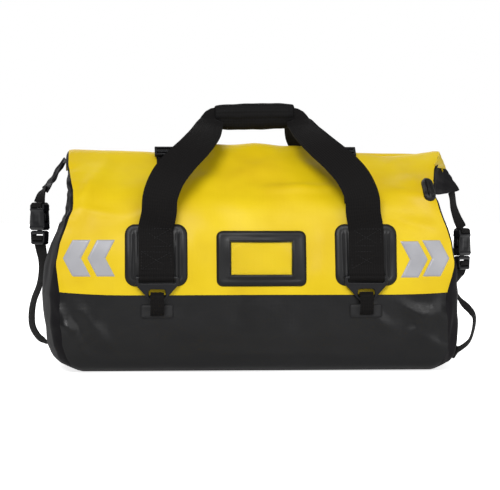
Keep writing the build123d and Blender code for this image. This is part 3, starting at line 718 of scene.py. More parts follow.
for face_name, face_side in FACES:
    for leg_name, leg_side in SIDES:
        plate(f"handle_patch_pvc_{face_name}_{leg_name}", leg_side * HANDLE_X, PATCH_Z, face_side,
              steps(PATCH_HALF_X, EDGES, 61), steps(PATCH_HALF_Z, EDGES, 30), 14.0, patch_height, PATCH_PVC,
              "moulded_patch", replaces=(f"handle_patch_{face_name}_{leg_name}",))
plate("card_window_frame", 0.0, CARD_Z, -1, frame_lines(FRAME_HALF[0], WINDOW_HALF[0], 44),
      frame_lines(FRAME_HALF[1], WINDOW_HALF[1], 26), 8.0, frame_height, PATCH_PVC, "moulded_patch",
      hole=(WINDOW_HALF[0] - 0.1, WINDOW_HALF[1] - 0.1), replaces=("card_frame",))
plate("card_window_film", 0.0, CARD_Z, -1, steps(WINDOW_HALF[0] + 0.5, (0, 1), 16),
      steps(WINDOW_HALF[1] + 0.5, (0, 1), 10), 2.0, lambda u, v, edge: PLATE_RISE, FILM, "clear_vinyl",
      replaces=("card_pane",))

# %% [markdown]
# ## Reflective arrows
# Each arrow is a die-cut chevron with a bevelled edge, pressed onto the wrap. The bevel is given a lighter film as
# a painted highlight.

# %% Arrows
ARROW_HALF, ARROW_DEEP, ARROW_ARM = 25.8, 13.5, 25.5
ARROW_LIFT, ARROW_BEVEL = 1.15, 1.2
ARROW_ACROSS = [0.0, 0.05, 0.1, 0.14, 0.3, 0.5, 0.7, 0.86, 0.9, 0.95, 1.0]
ARROW_UPS = [-1, -0.955, -0.91, -0.87, -0.65, -0.43, -0.2, -0.04, 0, 0.04, 0.2, 0.43, 0.65, 0.87, 0.91, 0.955, 1]
ARROWS = {"left": ((-282.0, 164.0), (-247.5, 164.0)), "right": ((270.5, 163.0), (239.0, 161.5))}


def arrow(name, tip_x, z0, point_side):
    """A chevron on the front whose tip is at tip_x, pointing left (-1) or right (1)."""
    def place(i, j):
        v, share = ARROW_UPS[i], ARROW_ACROSS[j]
        x = tip_x - point_side * (ARROW_DEEP * abs(v) + ARROW_ARM * (1 - share))
        rim = min(1 - abs(v), share * 0.9, (1 - share) * 0.9)
        return on_face(x, z0 + ARROW_HALF * v, -1, ARROW_LIFT + ARROW_BEVEL * min(rim / 0.06, 1.0))[0]

    obj = grid_piece(name, len(ARROW_UPS), len(ARROW_ACROSS), place, 0)
    if np.mean([p.normal.y for p in obj.data.polygons]) > 0:
        edit_mesh(obj, bpy.ops.mesh.flip_normals)
    # Faces on the bevel take the lighter film, a painted highlight.
    painted_highlight_faces = []
    for face in obj.data.polygons:
        tall_share = abs(face.center.z / MM - z0) / ARROW_HALF
        back = point_side * (tip_x - face.center.x / MM) - ARROW_DEEP * tall_share
        painted_highlight_faces.append(tall_share > 0.9 or not 0.075 <= 1 - back / ARROW_ARM <= 0.925)
    obj.data.polygons.foreach_set("material_index", np.array(painted_highlight_faces, int))
    apply_modifier(obj, "SOLIDIFY", thickness=1.0 * MM, offset=-1.0)
    smooth(obj, 25)
    return obj


for end_name, side in SIDES:
    for k, (tip, height) in enumerate(ARROWS[end_name]):
        piece = arrow(f"reflective_arrow_{end_name}_{k}", tip, height, side)
        stands_for = (f"reflective_arrows_{end_name}",) if k == 0 else ()
        finish_piece(piece, (REFLECTIVE, REFLECTIVE_HIGHLIGHT), "reflective_grey", replaces=stands_for)

# %% [markdown]
# ## Handle webbing
# One 50 mm strap runs from a ring, up its patch, over the shoulder, through the grip and down to the
# other ring. It is sewn to the bag below and lifts with the grip above, but the piece is attached to
# neither body.

# %% Front and rear handle straps
RING_LOW, RING_HIGH = box_of("triangle_ring_front_left")
BAR_Y, BAR_Z, BAR_REACH = RING_LOW[1] + 3.0, RING_HIGH[2] - 3.0, 4.4
GRIP_LOW, GRIP_HIGH = box_of("grip_wrap")
GRIP_Z, GRIP_HALF = (GRIP_LOW[2] + GRIP_HIGH[2]) / 2, GRIP_HIGH[0]
WEB, WEB_THICK = 50.0, 2.2
SEWN_HEIGHTS, SEWN_LIFT = (152, 165, 178, 192, 205), 5.6
FREE_LEG = [  # x, y, z, the way it faces, width
    (146.0, -150.0, 228, (0, -1, 0.12), WEB), (144.0, -149.0, 252, (0, -0.95, 0.3), WEB),
    (133.0, -139.0, 279, (0, -0.88, 0.5), WEB), (115.0, -122.0, 302, (0, -0.8, 0.62), WEB),
    (93.0, -98.0, 324, (0, -0.75, 0.7), 49.0), (76.0, -66.0, 344, (0, -0.8, 0.65), 45.0),
    (66.0, -30.0, 361, (0, -0.9, 0.4), 37.0), (GRIP_HALF - 5, -8.0, GRIP_Z, (0, -1, 0.1), 28),
]


def leg_points(sign):
    """Half a front handle from its ring up to the grip: rows of place, facing and width."""
    rows = []
    for angle in (-70, 0, 60, 120, 175):
        a = math.radians(angle)
        out = (0, -math.sin(a), -math.cos(a))
        rows.append(((sign * HANDLE_X, BAR_Y + BAR_REACH * out[1], BAR_Z + BAR_REACH * out[2]), out, WEB))
    for z in SEWN_HEIGHTS:
        rows.append((on_face(sign * HANDLE_X, z, -1, SEWN_LIFT)[0], (0, -1, 0.05), WEB))
    return rows + [((sign * x, y, z), look, wide) for x, y, z, look, wide in FREE_LEG]


def handle_strap(name, side):
    rows = leg_points(-1) + [((0.0, -5.6, GRIP_Z), (0, -1, 0), 27)] + leg_points(1)[::-1]
    flip = np.array([1, -side, 1])
    path = smooth_path([r[0] for r in rows], 6) * flip
    look = smooth_path([r[1] for r in rows], 6) * flip
    wide = smooth_path([(r[2], 0, 0) for r in rows], 6)[:, 0]
    return strap(name, path, look, WEB, WEB_THICK, widths=wide, columns=13)


for face_name, side in FACES:
    piece = handle_strap(f"handle_strap_{face_name}", side)
    sewn = [f"sewn_webbing_{face_name}_{leg_name}" for leg_name, _ in SIDES]
    finish_piece(piece, WEBBING, "webbing", body=None, replaces=(f"handle_webbing_{face_name}", *sewn))
    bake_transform(piece)

# %% [markdown]
# ## The rolled mouth
# The bag closes by rolling its stiffened mouth into a flat tube behind the crest. The roll is a spiral of
# cloth: a grid runs along the bag one way and round the spiral the other way. Its ends droop where the
# clips pull them.

# %% Roll of cloth along the crest
ROLL_LOW, ROLL_HIGH = box_of("rolled_closure")
ROLL_TURNS, ROLL_MARKS, ROLL_CORE = 2.6, 84, 0.34
ROLL_HALF_Y, ROLL_HALF_Z = 21.5, 10.6
DROOP_FROM, DROOP_OVER, DROOP = 262, 27, 15.0


def spiral():
    """The roll's end view: a flat spiral, as offsets in Y and Z from its middle."""
    out = []
    for t in np.linspace(0, 1, ROLL_MARKS):
        angle = 2 * math.pi * ROLL_TURNS * t + math.pi
        size = ROLL_CORE + (1 - ROLL_CORE) * t
        flat = abs(math.cos(angle)) ** 0.75 * math.copysign(1, math.cos(angle))
        out.append((flat * ROLL_HALF_Y * size, math.sin(angle) * ROLL_HALF_Z * size))
    return out


def roll_of_cloth():
    shape = spiral()
    xs = np.concatenate([[-281, -280, -278, -276, -273], np.linspace(-270, 270, 91),
                         [277, 281, 284, 287, 289]])
    _, middle_y, middle_z = (ROLL_LOW + ROLL_HIGH) / 2

    def place(i, j):
        x, (y, z) = xs[i], shape[j]
        beyond = max(abs(x) - DROOP_FROM, 0) / DROOP_OVER
        slack = 1.6 * noise.noise(Vector((x / 70, j / 30, 4.0)))
        slack += 0.7 * noise.noise(Vector((x / 24, j / 9, 1.0)))
        swell = 1 + 0.05 * math.sin(x / 61.0) + slack / 22
        lift = 3.0 * math.cos(math.pi * x / 560) ** 2 - DROOP * beyond ** 1.6
        return x, middle_y + 2.5 + y * swell, middle_z - 0.5 + z * (swell - 0.1 * beyond) + lift

    obj = grid_piece("rolled_mouth", len(xs), len(shape), place, 1.0)
    return finish_piece(obj, YELLOW, "tarpaulin_yellow", replaces=("rolled_closure",))


roll_of_cloth()
print("roll", ROLL_LOW.round(), ROLL_HIGH.round())

# %% [markdown]
# ## Hoods and flaps at the ends of the roll
# At each end the wrap's corner folds over as a small yellow hood, and a black flap hangs from under it
# and carries the clip strap. The flap is soft, so it twists outwards as it hangs.

# %% Hood and flap
FLAP_CORNERS = {
    "right": [(267, -36, 299), (294, 34, 297), (320, 42, 261), (268, -26, 254)],
    "left": [(-285, 8, 303), (-284, 54, 312), (-318, 56, 264), (-310, 12, 258)],
}
HOOD_CORNERS = {
    "right": [(263.5, -60, 300.5), (276.5, -19, 320), (296.5, 34, 295), (267.5, -46, 295.5)],
    "left": [(-271, -20, 312), (-275, 40, 318), (-279, 40, 306), (-277, -8, 305)],
}


def bent_sheet(name, corners, rows, columns, bulge, thick, waves, seed):
    """A sheet between four corners in mm (top front, top back, low back, low front), bulged and rippled."""
    a, b, c, d = [np.array(p, float) for p in corners]
    out = np.cross(b - a, d - a)
    out /= np.linalg.norm(out)

    def place(i, j):
        s, t = i / (rows - 1), j / (columns - 1)
        rounded = 0.05 * (2 * s - 1) ** 4 * t ** 3
        p = (a * (1 - s) + b * s) * (1 - t) + (d * (1 - s) + c * s) * t
        p = p * (1 - rounded) + (a + b) / 2 * rounded
        swell = bulge * math.sin(math.pi * s) * (0.4 + 0.6 * math.sin(math.pi * min(t + 0.15, 1)))
        return p + out * (swell + waves * noise.noise(Vector((s * 3.1, t * 4.3, seed))))

    return grid_piece(name, rows, columns, place, thick, uv_size=lambda i, j: (i * MM, j * MM))


for end_name, side in SIDES:
    flap = bent_sheet(f"closure_flap_{end_name}", FLAP_CORNERS[end_name], 21, 25, bulge=side * 4.0, thick=1.8,
                      waves=2.6, seed=2.0 + side)
    finish_piece(flap, END_BLACK, "end_tarpaulin", replaces=(f"closure_tab_{end_name}",))
    hood = bent_sheet(f"roll_hood_{end_name}", HOOD_CORNERS[end_name], 21, 17, bulge=side * -3.5, thick=1.2,
                      waves=0.8, seed=7.0 + side)
    finish_piece(hood, YELLOW, "tarpaulin_yellow")

# %% [markdown]
# ## Compression straps over the top
# Two flat 25 mm straps cross the crest from front to back and lie on the cloth. Each has a two-bar
# slider.

# %% Top straps
THIN_WEB, THIN_THICK = 25.0, 1.6
TOP_STRAP_X, TOP_STRAP_TURN, TOP_STRAP_LIFT = 134.0, 72, 2.0


def top_strap(name, x):
    path = []
    for angle in np.linspace(TOP_STRAP_TURN, -TOP_STRAP_TURN, 57):
        spot, _ = over_top(x, angle, TOP_STRAP_LIFT)
        if ROLL_LOW[1] - 3 < spot[1] < ROLL_HIGH[1] + 8:
            spot = spot + np.array([0, 0, max(0.0, ROLL_HIGH[2] + 4.0 - spot[2]) * 0.92])
        path.append(spot)
    path = smooth_path(path[::2], 4)
    lean = np.sign(path[:, 1]) * (np.abs(path[:, 1]) / DOME_HALF) ** 2 * 1.5
    look = np.stack([np.zeros(len(path)), lean, np.ones(len(path))], -1)
    return strap(name, path, look, THIN_WEB, THIN_THICK)


for end_name, side in SIDES:
    finish_piece(top_strap(f"compression_strap_{end_name}", side * TOP_STRAP_X), WEBBING, "webbing",
                 replaces=(f"top_strap_{end_name}",))

# %% [markdown]
# ## Moulded hardware
# Rings, sliders and buckles have exact shapes in the frame. Moulded acetal has no sharp edge, so each is
# copied and its flat faces are merged; the prongs' edges are rounded with a bevel, and the rest are remeshed
# finely and smoothed round.

# %% Rounded copies of the hardware
CLIP_TURN = 50.0


def node_copy(name, node):
    """A piece with a node's exact shape, its split flat faces merged again."""
    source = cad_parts[node]
    obj = source.copy()
    obj.data = source.data.copy()
    obj.parent = None
    obj.matrix_world.identity()
    obj.name = name
    obj.data.name = name
    for collection in list(obj.users_collection):
        collection.objects.unlink(obj)
    bpy.context.scene.collection.objects.link(obj)
    obj.hide_render = False
    obj.hide_viewport = False
    edit_mesh(obj, bpy.ops.mesh.remove_doubles, threshold=0.00001)
    edit_mesh(obj, bpy.ops.mesh.dissolve_limited, angle_limit=math.radians(2))
    return obj


def moulded_copy(name, node, radius, body):
    """A copy of a node with its edges rounded by a bevel."""
    obj = node_copy(name, node)
    apply_modifier(obj, "BEVEL", width=radius * MM, segments=3, angle_limit=math.radians(38),
                   harden_normals=False)
    smooth(obj, 40)
    return finish_piece(obj, ACETAL, "acetal", body=body, replaces=(node,))


def cast_copy(name, node, voxel, rounds, shape=None, body="bag"):
    """A copy of a node remeshed finely, so that it can be rounded all over and crowned by a rule."""
    obj = node_copy(name, node)
    apply_modifier(obj, "REMESH", mode="VOXEL", voxel_size=voxel * MM)
    apply_modifier(obj, "SMOOTH", factor=0.5, iterations=rounds)
    if shape:
        set_points(obj, shape(points_of(obj) / MM) * MM)
    smooth(obj)
    return finish_piece(obj, ACETAL, "acetal", body=body, replaces=(node,))


def clip_shape(end_name, change):
    """A rule for a clip's points. change gets the place across, through and down, and gives what to add."""
    low, high = box_of(f"buckle_socket_{end_name}")
    turn = math.radians((-1 if end_name == "left" else 1) * CLIP_TURN)
    middle = np.array([(low[0] + high[0]) / 2, (low[1] + high[1]) / 2, 0.0])
    wide = np.array([math.cos(turn), math.sin(turn), 0])
    thick = np.array([-math.sin(turn), math.cos(turn), 0])

    def shape(points):
        w, t = (points - middle) @ wide, (points - middle) @ thick
        across, through = change(w, t, high[2] - points[:, 2])
        return points + np.outer(through, thick) + np.outer(across, wide)

    return shape


def socket_change(w, t, drop):
    """Crowned faces, a waist at the prongs' windows, an oval thumb recess and a rolled upper lip."""
    crown = 1.5 * (1 - (w / 17.0) ** 2).clip(0, 1) * np.sin(np.pi * (drop / 42.0).clip(0, 1))
    recess = -1.3 * ridge(w, 0, 7.5, 4) * ridge(drop, 22, 9.0, 4)
    lip = 0.9 * ridge(drop, 9, 1.6) + 0.9 * ridge(drop, 36, 1.6)
    waist = 0.04 * ridge(drop, 33, 6.0) - 0.07 * ridge(drop, 12, 6.0)
    return w * waist * (np.abs(w) > 13), np.sign(t) * (np.abs(t) > 4.2) * (crown + recess + lip)


def plug_change(w, t, drop):
    """Two grip ribs, and a taper towards the strap."""
    rib = 0.8 * (ridge(drop, 43.5, 1.3) + ridge(drop, 59.5, 1.5))
    taper = -0.08 * ((drop - 46) / 16).clip(0, 1) * (np.abs(w) > 8)
    return w * taper, np.sign(t) * (np.abs(t) > 3.4) * rib


for face_name, _ in FACES:
    for leg_name, _ in SIDES:
        tag = f"{face_name}_{leg_name}"
        cast_copy(f"ring_moulded_{tag}", f"triangle_ring_{tag}", 0.6, 5, body=f"ring_{tag}")
for end_name, _ in SIDES:
    cast_copy(f"slider_moulded_{end_name}", f"slider_{end_name}", 0.5, 4)
    for part, rounds, change in (("socket", 6, socket_change), ("plug", 5, plug_change)):
        cast_copy(f"clip_{part}_{end_name}", f"buckle_{part}_{end_name}", 0.55, rounds,
                  clip_shape(end_name, change))
    for face_name, _ in FACES:
        moulded_copy(f"clip_prong_{end_name}_{face_name}", f"buckle_prong_{end_name}_{face_name}", 1.2,
                     body=f"prong_{end_name}_{face_name}")

# %% Air valve
VALVE_HALF_X, VALVE_HALF_Z, VALVE_INWARDS = 8, 15.2, 1.5


def valve_height(u, v, edge):
    """A domed rim, a shallow dish inside it and an upright rib across the dish."""
    rib = 2.4 * ridge(u, 0, 1.5, 4) if abs(v) < 11.5 else 0
    return 2.4 * rounded_rim(edge, 1.2) + 2.2 * ridge(edge, 2.6, 1.7) + rib


valve_x, _, valve_z = sum(box_of("air_valve")) / 2
plate("air_valve_moulded", valve_x - VALVE_INWARDS, valve_z, -1, steps(VALVE_HALF_X, EDGES, 15),
      steps(VALVE_HALF_Z, EDGES, 21), VALVE_HALF_X - 0.1, valve_height, RUBBER, "rubber",
      replaces=("air_valve",))

# %% [markdown]
# ## Ring anchors
# A 19 mm webbing loop holds each ring's eye, and its ends are sewn flat to the base as a small foot.

# %% Anchor loops and feet
FOOT_HALF, FOOT_UP = (22.0, 8.5), 8.5
FOOT_EDGES = (0.0, 0.7, 1.6)


def anchor(tag, side):
    """A loop from behind the ring, over its lower edge and down the front, and the foot that it is sewn to."""
    low, high = box_of(f"anchor_tab_{tag}")
    ring_low, ring_high = box_of(f"triangle_ring_{tag}")
    x, base, top = (low[0] + high[0]) / 2, low[2], high[2] - 1.0
    outer = low[1] if side < 0 else high[1]
    inner = ring_high[1] + 1.6 if side < 0 else ring_low[1] - 1.6
    middle = (inner + outer) / 2
    path = smooth_path([
        (x, inner, base + 9), (x, inner - side * 0.2, (base + top) / 2 + 2), (x, inner + side * 0.6, top - 3.5),
        (x, middle, top), (x, outer - side * 1.4, top - 4.0), (x, outer - side * 1.2, top - 11),
        (x, outer - side * 3.0, base + 10), (x, middle - side * 2.0, base + 4.2), (x, inner + side, base + 3.4),
    ], 6)
    look = np.cross(np.gradient(path, axis=0), np.array([-side, 0, 0]))
    loop = strap(f"ring_anchor_loop_{tag}", path, look, 19.0, 1.8)
    finish_piece(loop, WEBBING, "webbing", replaces=(f"anchor_tab_{tag}",))
    plate(f"ring_anchor_foot_{tag}", x, base + FOOT_UP, side, steps(FOOT_HALF[0], FOOT_EDGES, 15),
          steps(FOOT_HALF[1], FOOT_EDGES, 7), 2.5, lambda u, v, edge: 1.4 + 1.2 * rounded_rim(edge, 1.2),
          STITCH, "webbing")


for face_name, side in FACES:
    for leg_name, _ in SIDES:
        anchor(f"{face_name}_{leg_name}", side)

# %% [markdown]
# ## End straps
# A 25 mm strap joins each flap to its clip. A longer one runs slack from the clip to a patch low on the
# end, turning from the clip's angle to lie flat against the bag.

# %% Clip straps and their patches
END_PATCH_AT, END_PATCH_HALF, PATCH_RISE = (34.0, 32.0), (20.0, 13.0), 2.2
STRAPS = {  # stations of x outwards, y, z, and the turn of the width from X; z after "clip" is from the clip
    ("upper", "left"): [(312, 34, 270, 84), (315, 34, 262, 78), (319, 34, 254, 62), ("clip", 321.5, 34, 1.4)],
    ("upper", "right"): [(304, 30, 260, 60), (306, 31, 250, 62), (308, 32, 236, 60), (314, 33, 219, 55),
                         ("clip", 321, 34, 1.4)],
    ("lower", "left"): [("clip", 320.5, 36, 9), ("clip", 320.5, 36, 1.5), ("clip", 319, 35, -7, 52),
                        (316.5, 34, 158, 58), (317.5, 34, 139, 66), (322, 34, 118, 71), (329.5, 34, 98, 71),
                        (333, 34, 78, 68), (332, 34, 58, 68), (324, 34, 43, 72), (314, 34, 35, 80),
                        ("bag", 34, 31, 88)],
    ("lower", "right"): [("clip", 320.5, 36, 9), ("clip", 320.5, 36, 1.5), ("clip", 316, 35, -6, 56),
                         (310, 33, 122, 74), (310, 32, 111, 80), (319, 32, 94, 74), (333, 32, 80, 70),
                         (340, 32, 68, 70), (338, 32, 48, 72), (331, 33, 31, 72), (314, 34, 19, 78),
                         ("bag", 34, 19, 86)],
}


def strap_stations(part, end_name, side):
    """The stations as numbers: the clip's end of the strap and its foot on the bag are looked up."""
    clip_z = box_of(f"buckle_{'socket' if part == 'upper' else 'plug'}_{end_name}")[part == "upper"][2]
    for station in STRAPS[part, end_name]:
        if station[0] == "clip":
            _, x, y, above, *turn = station
            yield x, y, clip_z + above, turn[0] if turn else CLIP_TURN
        elif station[0] == "bag":
            _, y, z, turn = station
            yield abs(on_end(y, z, side, PATCH_RISE + 0.9)[0][0]), y, z, turn
        else:
            yield station


def clip_strap(part, end_name, side):
    stations = list(strap_stations(part, end_name, side))
    path = smooth_path([(side * x, y, z) for x, y, z, _ in stations])
    turns = np.radians(smooth_path([(turn, 0, 0) for *_, turn in stations])[:, 0])
    look = np.stack([np.sin(turns) * side, -np.cos(turns), np.zeros(len(turns))], -1)
    piece = strap(f"clip_strap_{part}_{end_name}", path, look, THIN_WEB, THIN_THICK)
    finish_piece(piece, WEBBING, "webbing", replaces=(f"end_strap_{part}_{end_name}",))


def bar_wrap(part, end_name, side, drop_high, drop_low, thick):
    """Webbing wrapped round a clip's bar, between two depths below the clip's top."""
    low, high = box_of(f"buckle_socket_{end_name}")
    middle = (low + high) / 2
    middle[2] = high[2] - (drop_high + drop_low) / 2
    turn = math.radians(side * CLIP_TURN)
    away = np.array([-math.sin(turn), math.cos(turn), 0]) * (thick / 2 + 0.9)
    up = np.array([0, 0, (drop_low - drop_high) / 2])
    ring = []
    for a in np.linspace(0, 2 * math.pi, 17):
        out, high_share = [math.copysign(abs(v) ** 0.6, v) for v in (math.cos(a), math.sin(a))]
        ring.append(away * out + up * high_share)
    wrap = strap(f"clip_wrap_{part}_{end_name}", np.array(ring) + middle, ring, 24.0, 1.5, columns=5)
    finish_piece(wrap, WEBBING, "webbing")


def end_plate(name, y0, z0, side, us, vs, radius, rise, material, slot_name, replaces=()):
    """A moulded plate on the bag's end, with a rounded rim."""
    def place(i, j):
        u, v, edge = round_corner(us[i], vs[j], us[-1], vs[-1], radius)
        return on_end(y0 + u, z0 + v, side, rise * rounded_rim(edge, 1.2))[0]

    obj = grid_piece(name, len(us), len(vs), place, 1.2, offset=-side)
    return finish_piece(obj, material, slot_name, replaces=replaces)


for end_name, side in SIDES:
    for part in ("upper", "lower"):
        clip_strap(part, end_name, side)
for end_name, side in SIDES:
    bar_wrap("upper", end_name, side, -1.2, 5.6, 11.0)
    bar_wrap("lower", end_name, side, 48.6, 54.6, 9.0)
for end_name, side in SIDES:
    end_plate(f"strap_patch_{end_name}", *END_PATCH_AT, side, steps(END_PATCH_HALF[0], EDGES, 10),
              steps(END_PATCH_HALF[1], EDGES, 7), 6.0, PATCH_RISE, PATCH_PVC, "moulded_patch",
              replaces=(f"strap_anchor_{end_name}",))

# %% [markdown]
# ## The grip
# Both handles meet in a padded wrap that closes over them with hook-and-loop. The wrap is a soft tube,
# fuller at its middle, with pinched ends. Its flap comes over the top and down the front, and rides on
# its own body.

# %% Wrap, flap and core
GRIP_HALF_Y, GRIP_HALF_Z = GRIP_HIGH[1], (GRIP_HIGH[2] - GRIP_LOW[2]) / 2
GRIP_SLOPE, GRIP_ROUND, SQUARENESS = 0.022, 17, 0.7
WRAP_XS = np.concatenate([[-GRIP_HALF, -GRIP_HALF + 1.2, -GRIP_HALF + 3.5], np.linspace(-52, 52, 39),
                          [GRIP_HALF - 3.5, GRIP_HALF - 1.2, GRIP_HALF]])
WRAP_ANGLES = np.linspace(0, 2 * math.pi, 65)
FLAP_XS = np.concatenate([[-59, -58, -56], np.linspace(-52, 52, 27), [56, 58, 59]])
FLAP_ANGLES = np.concatenate([np.linspace(-0.55, 1.55, 36), [1.6, 1.64, 1.68]])


def grip_section(angle, x, out=0.0):
    """A point of the grip's rounded section at an angle from straight up, front first."""
    taper = 1 - 0.16 * (abs(x) / GRIP_HALF) ** 5
    c, s = math.cos(angle), math.sin(angle)
    y = -math.copysign(abs(s) ** SQUARENESS, s) * (GRIP_HALF_Y * taper + out)
    z = math.copysign(abs(c) ** SQUARENESS, c) * (GRIP_HALF_Z * taper + out)
    soft = 0.9 * noise.noise(Vector((x / 21, angle * 1.3, 5.0)))
    return np.array([x, y * (1 + soft / 16), GRIP_Z + z * (1 + soft / 20) + GRIP_SLOPE * x])


def grip_wrap():
    def place(i, j):
        x = WRAP_XS[i]
        shut = 0.9 if i in (0, len(WRAP_XS) - 1) else 1.0
        middle = np.array([x, 0, GRIP_Z + GRIP_SLOPE * x])
        return middle + (grip_section(WRAP_ANGLES[j], x) - middle) * shut

    obj = grid_piece("grip_padded_wrap", len(WRAP_XS), len(WRAP_ANGLES), place, 0,
                     uv_size=lambda i, j: (WRAP_XS[i] * MM, WRAP_ANGLES[j] * GRIP_ROUND * MM))
    edit_mesh(obj, bpy.ops.mesh.remove_doubles, threshold=0.00005)
    edit_mesh(obj, bpy.ops.mesh.normals_make_consistent, inside=False)
    apply_modifier(obj, "SOLIDIFY", thickness=2.6 * MM, offset=-1.0)
    smooth(obj)
    finish_piece(obj, GRIP_CLOTH, "grip_cloth", body="carry_handle", replaces=("grip_wrap",))


def grip_flap():
    def place(i, j):
        x = FLAP_XS[i]
        ragged = 0.035 * noise.noise(Vector((x / 17, 3.0, 1.0))) * j / len(FLAP_ANGLES)
        at_rim = j > len(FLAP_ANGLES) - 3 or i in (0, len(FLAP_XS) - 1)
        return grip_section(FLAP_ANGLES[j] + ragged, x, out=0.4 if at_rim else 1.1)

    obj = grid_piece("grip_cover_flap", len(FLAP_XS), len(FLAP_ANGLES), place, 1.1, offset=1.0,
                     uv_size=lambda i, j: (FLAP_XS[i] * MM, FLAP_ANGLES[j] * GRIP_ROUND * MM))
    finish_piece(obj, GRIP_CLOTH, "grip_cloth", body="grip_cover", replaces=("grip_flap",))


grip_wrap()
grip_flap()
for node, material in (("grip_core", FOAM), ("closure_stiffeners", ACETAL)):
    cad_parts[node].data.materials.clear()
    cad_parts[node].data.materials.append(material)
print("grip done")

# %% [markdown]
# ## Stitching
# Each webbing end is sewn down with a box and a cross. One stitch is a short capsule of thread. It is
# modelled once, and then copied along each line with only a few faces.

# %% Box stitches
STITCH_SPACING, STITCH_LONG, STITCH_RADIUS = 4.2, 3.0, 0.42
BOX = [(-21, -12), (21, -12), (21, 12), (-21, 12), (-21, -12), (21, 12)]
CROSS = [(-21, 12), (21, -12)]
FOOT_BOX = [(-19, 5.5), (19, 5.5), (19, -5.5), (-19, -5.5), (-19, 5.5)]
BOX_HEIGHTS, FOOT_Z = (160, 192), 88.5


def stitch_lines(name, lines):
    """Stitches along lines of 3-D points in mm, all in one mesh."""
    spots, runs = [], []
    for line in lines:
        line = np.array(line, float)
        gaps = np.linalg.norm(np.diff(line, axis=0), axis=1)
        far = np.concatenate([[0], np.cumsum(gaps)])
        for s in np.arange(STITCH_SPACING / 2, far[-1], STITCH_SPACING):
            spot, ahead, back = [np.array([np.interp(at, far, line[:, k]) for k in range(3)])
                                 for at in (s, min(s + 1, far[-1]), max(s - 1, 0))]
            spots.append(spot)
            runs.append((ahead - back) / (np.linalg.norm(ahead - back) + 1e-9))
    deselect()
    bpy.ops.mesh.primitive_uv_sphere_add(segments=6, ring_count=4, radius=1)
    one = bpy.context.object
    base = points_of(one) * np.array([STITCH_RADIUS, STITCH_RADIUS, STITCH_LONG / 2])
    faces = [list(f.vertices) for f in one.data.polygons]
    bpy.data.objects.remove(one)
    verts, polys = [], []
    for spot, run in zip(spots, runs):
        turn = np.array(Vector(run).to_track_quat("Z", "Y").to_matrix())
        polys.extend([[v + len(verts) for v in f] for f in faces])
        verts.extend((base @ turn.T + spot) * MM)
    mesh = bpy.data.meshes.new(name)
    mesh.from_pydata([tuple(v) for v in verts], [], polys)
    obj = bpy.data.objects.new(name, mesh)
    bpy.context.scene.collection.objects.link(obj)
    smooth(obj)
    finish_piece(obj, STITCH, "webbing")


def face_line(x0, z0, points, side, lift):
    """A line on the bag's face through x, z offsets."""
    spots = [(ax + (bx - ax) * t, az + (bz - az) * t) for (ax, az), (bx, bz) in zip(points[:-1], points[1:])
             for t in np.linspace(0, 1, 12, endpoint=False)] + [points[-1]]
    return [on_face(x0 + x, z0 + z, side, lift)[0] for x, z in spots]


for face_name, side in FACES:
    for leg_name, leg in SIDES:
        x = leg * HANDLE_X
        lines = [face_line(x, z, pts, side, 7.0) for z in BOX_HEIGHTS for pts in (BOX, CROSS)]
        lines.append(face_line(x, FOOT_Z, FOOT_BOX, side, 2.9))
        stitch_lines(f"webbing_stitches_{face_name}_{leg_name}", lines)
bpy.data.objects.remove(BODY)
print("stitches done")

# %% [markdown]
# ## Studio
# A white floor and a plain white surround. Both are bright to the camera and dimmer to every other ray,
# so that black parts stay black. Three broad suns light the bag.

# %% Studio
FLOOR_SIZE = 60
SURROUND, FLOOR_GLOW = (0.29, 1.0), (0.0, 0.8)  # to other rays, to the camera
SUNS = (("key", (0.3, 1.0, -0.8), 2.0, 30), ("fill", (-0.6, 1.0, -0.5), 0.7, 45),
        ("back", (0.2, -1.0, -0.5), 0.7, 40))
CAMERA_AZIMUTH, CAMERA_HEIGHT_ANGLE, CAMERA_DISTANCE = -4.0, 1.0, 3.0
AIM = (-0.006, 0.0, 0.180)
VIEW_WIDTH, SENSOR = 0.750, 36


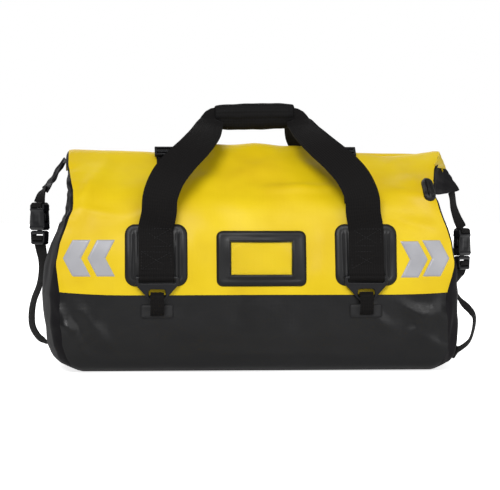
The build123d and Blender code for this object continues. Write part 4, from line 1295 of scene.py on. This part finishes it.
def by_ray(tree, others, camera):
    """One value for the camera's rays and another for all others."""
    ray = add(tree, "LightPath")
    return add(tree, "MapRange", {"Value": (ray, "Is Camera Ray")}, To_Min=others, To_Max=camera)


def studio():
    deselect()
    bpy.ops.mesh.primitive_plane_add(size=FLOOR_SIZE, location=(0, 0, 0))
    floor = bpy.context.object
    floor.name = "floor"
    floor.data.transform(floor.matrix_world)
    floor.matrix_world.identity()
    white = bpy.data.materials.new("studio_floor")
    white.use_nodes = True
    shader = white.node_tree.nodes["Principled BSDF"]
    shader.inputs["Base Color"].default_value = (0.97, 0.97, 0.97, 1)
    shader.inputs["Roughness"].default_value = 0.9
    glow = by_ray(white.node_tree, *FLOOR_GLOW)
    shader.inputs["Emission Color"].default_value = (1, 1, 1, 1)
    white.node_tree.links.new(glow.outputs["Result"], shader.inputs["Emission Strength"])
    floor.data.materials.append(white)
    world = bpy.data.worlds.new("studio")
    bpy.context.scene.world = world
    world.use_nodes = True
    tree = world.node_tree
    tree.nodes.clear()
    sky = add(tree, "Background", {"Strength": (by_ray(tree, *SURROUND), "Result")}, Color=(1, 1, 1, 1))
    add(tree, "OutputWorld", {"Surface": (sky, "Background")})
    for name, way, strength, spread in SUNS:
        lamp = bpy.data.lights.new(name, "SUN")
        lamp.energy = strength
        lamp.angle = math.radians(spread)
        obj = bpy.data.objects.new(name, lamp)
        bpy.context.collection.objects.link(obj)
        obj.rotation_euler = Vector(way).to_track_quat("-Z", "Y").to_euler()
    bpy.context.scene.view_settings.view_transform = "Standard"


def camera():
    data = bpy.data.cameras.new("camera")
    obj = bpy.data.objects.new("camera", data)
    bpy.context.collection.objects.link(obj)
    az, el = math.radians(CAMERA_AZIMUTH), math.radians(CAMERA_HEIGHT_ANGLE)
    way = Vector((math.sin(az) * math.cos(el), -math.cos(az) * math.cos(el), math.sin(el)))
    obj.location = Vector(AIM) + way * CAMERA_DISTANCE
    obj.rotation_euler = (-way).to_track_quat("-Z", "Y").to_euler()
    data.sensor_width = SENSOR
    data.lens = SENSOR * CAMERA_DISTANCE / VIEW_WIDTH
    data.clip_end = 100
    bpy.context.scene.camera = obj


studio()
camera()
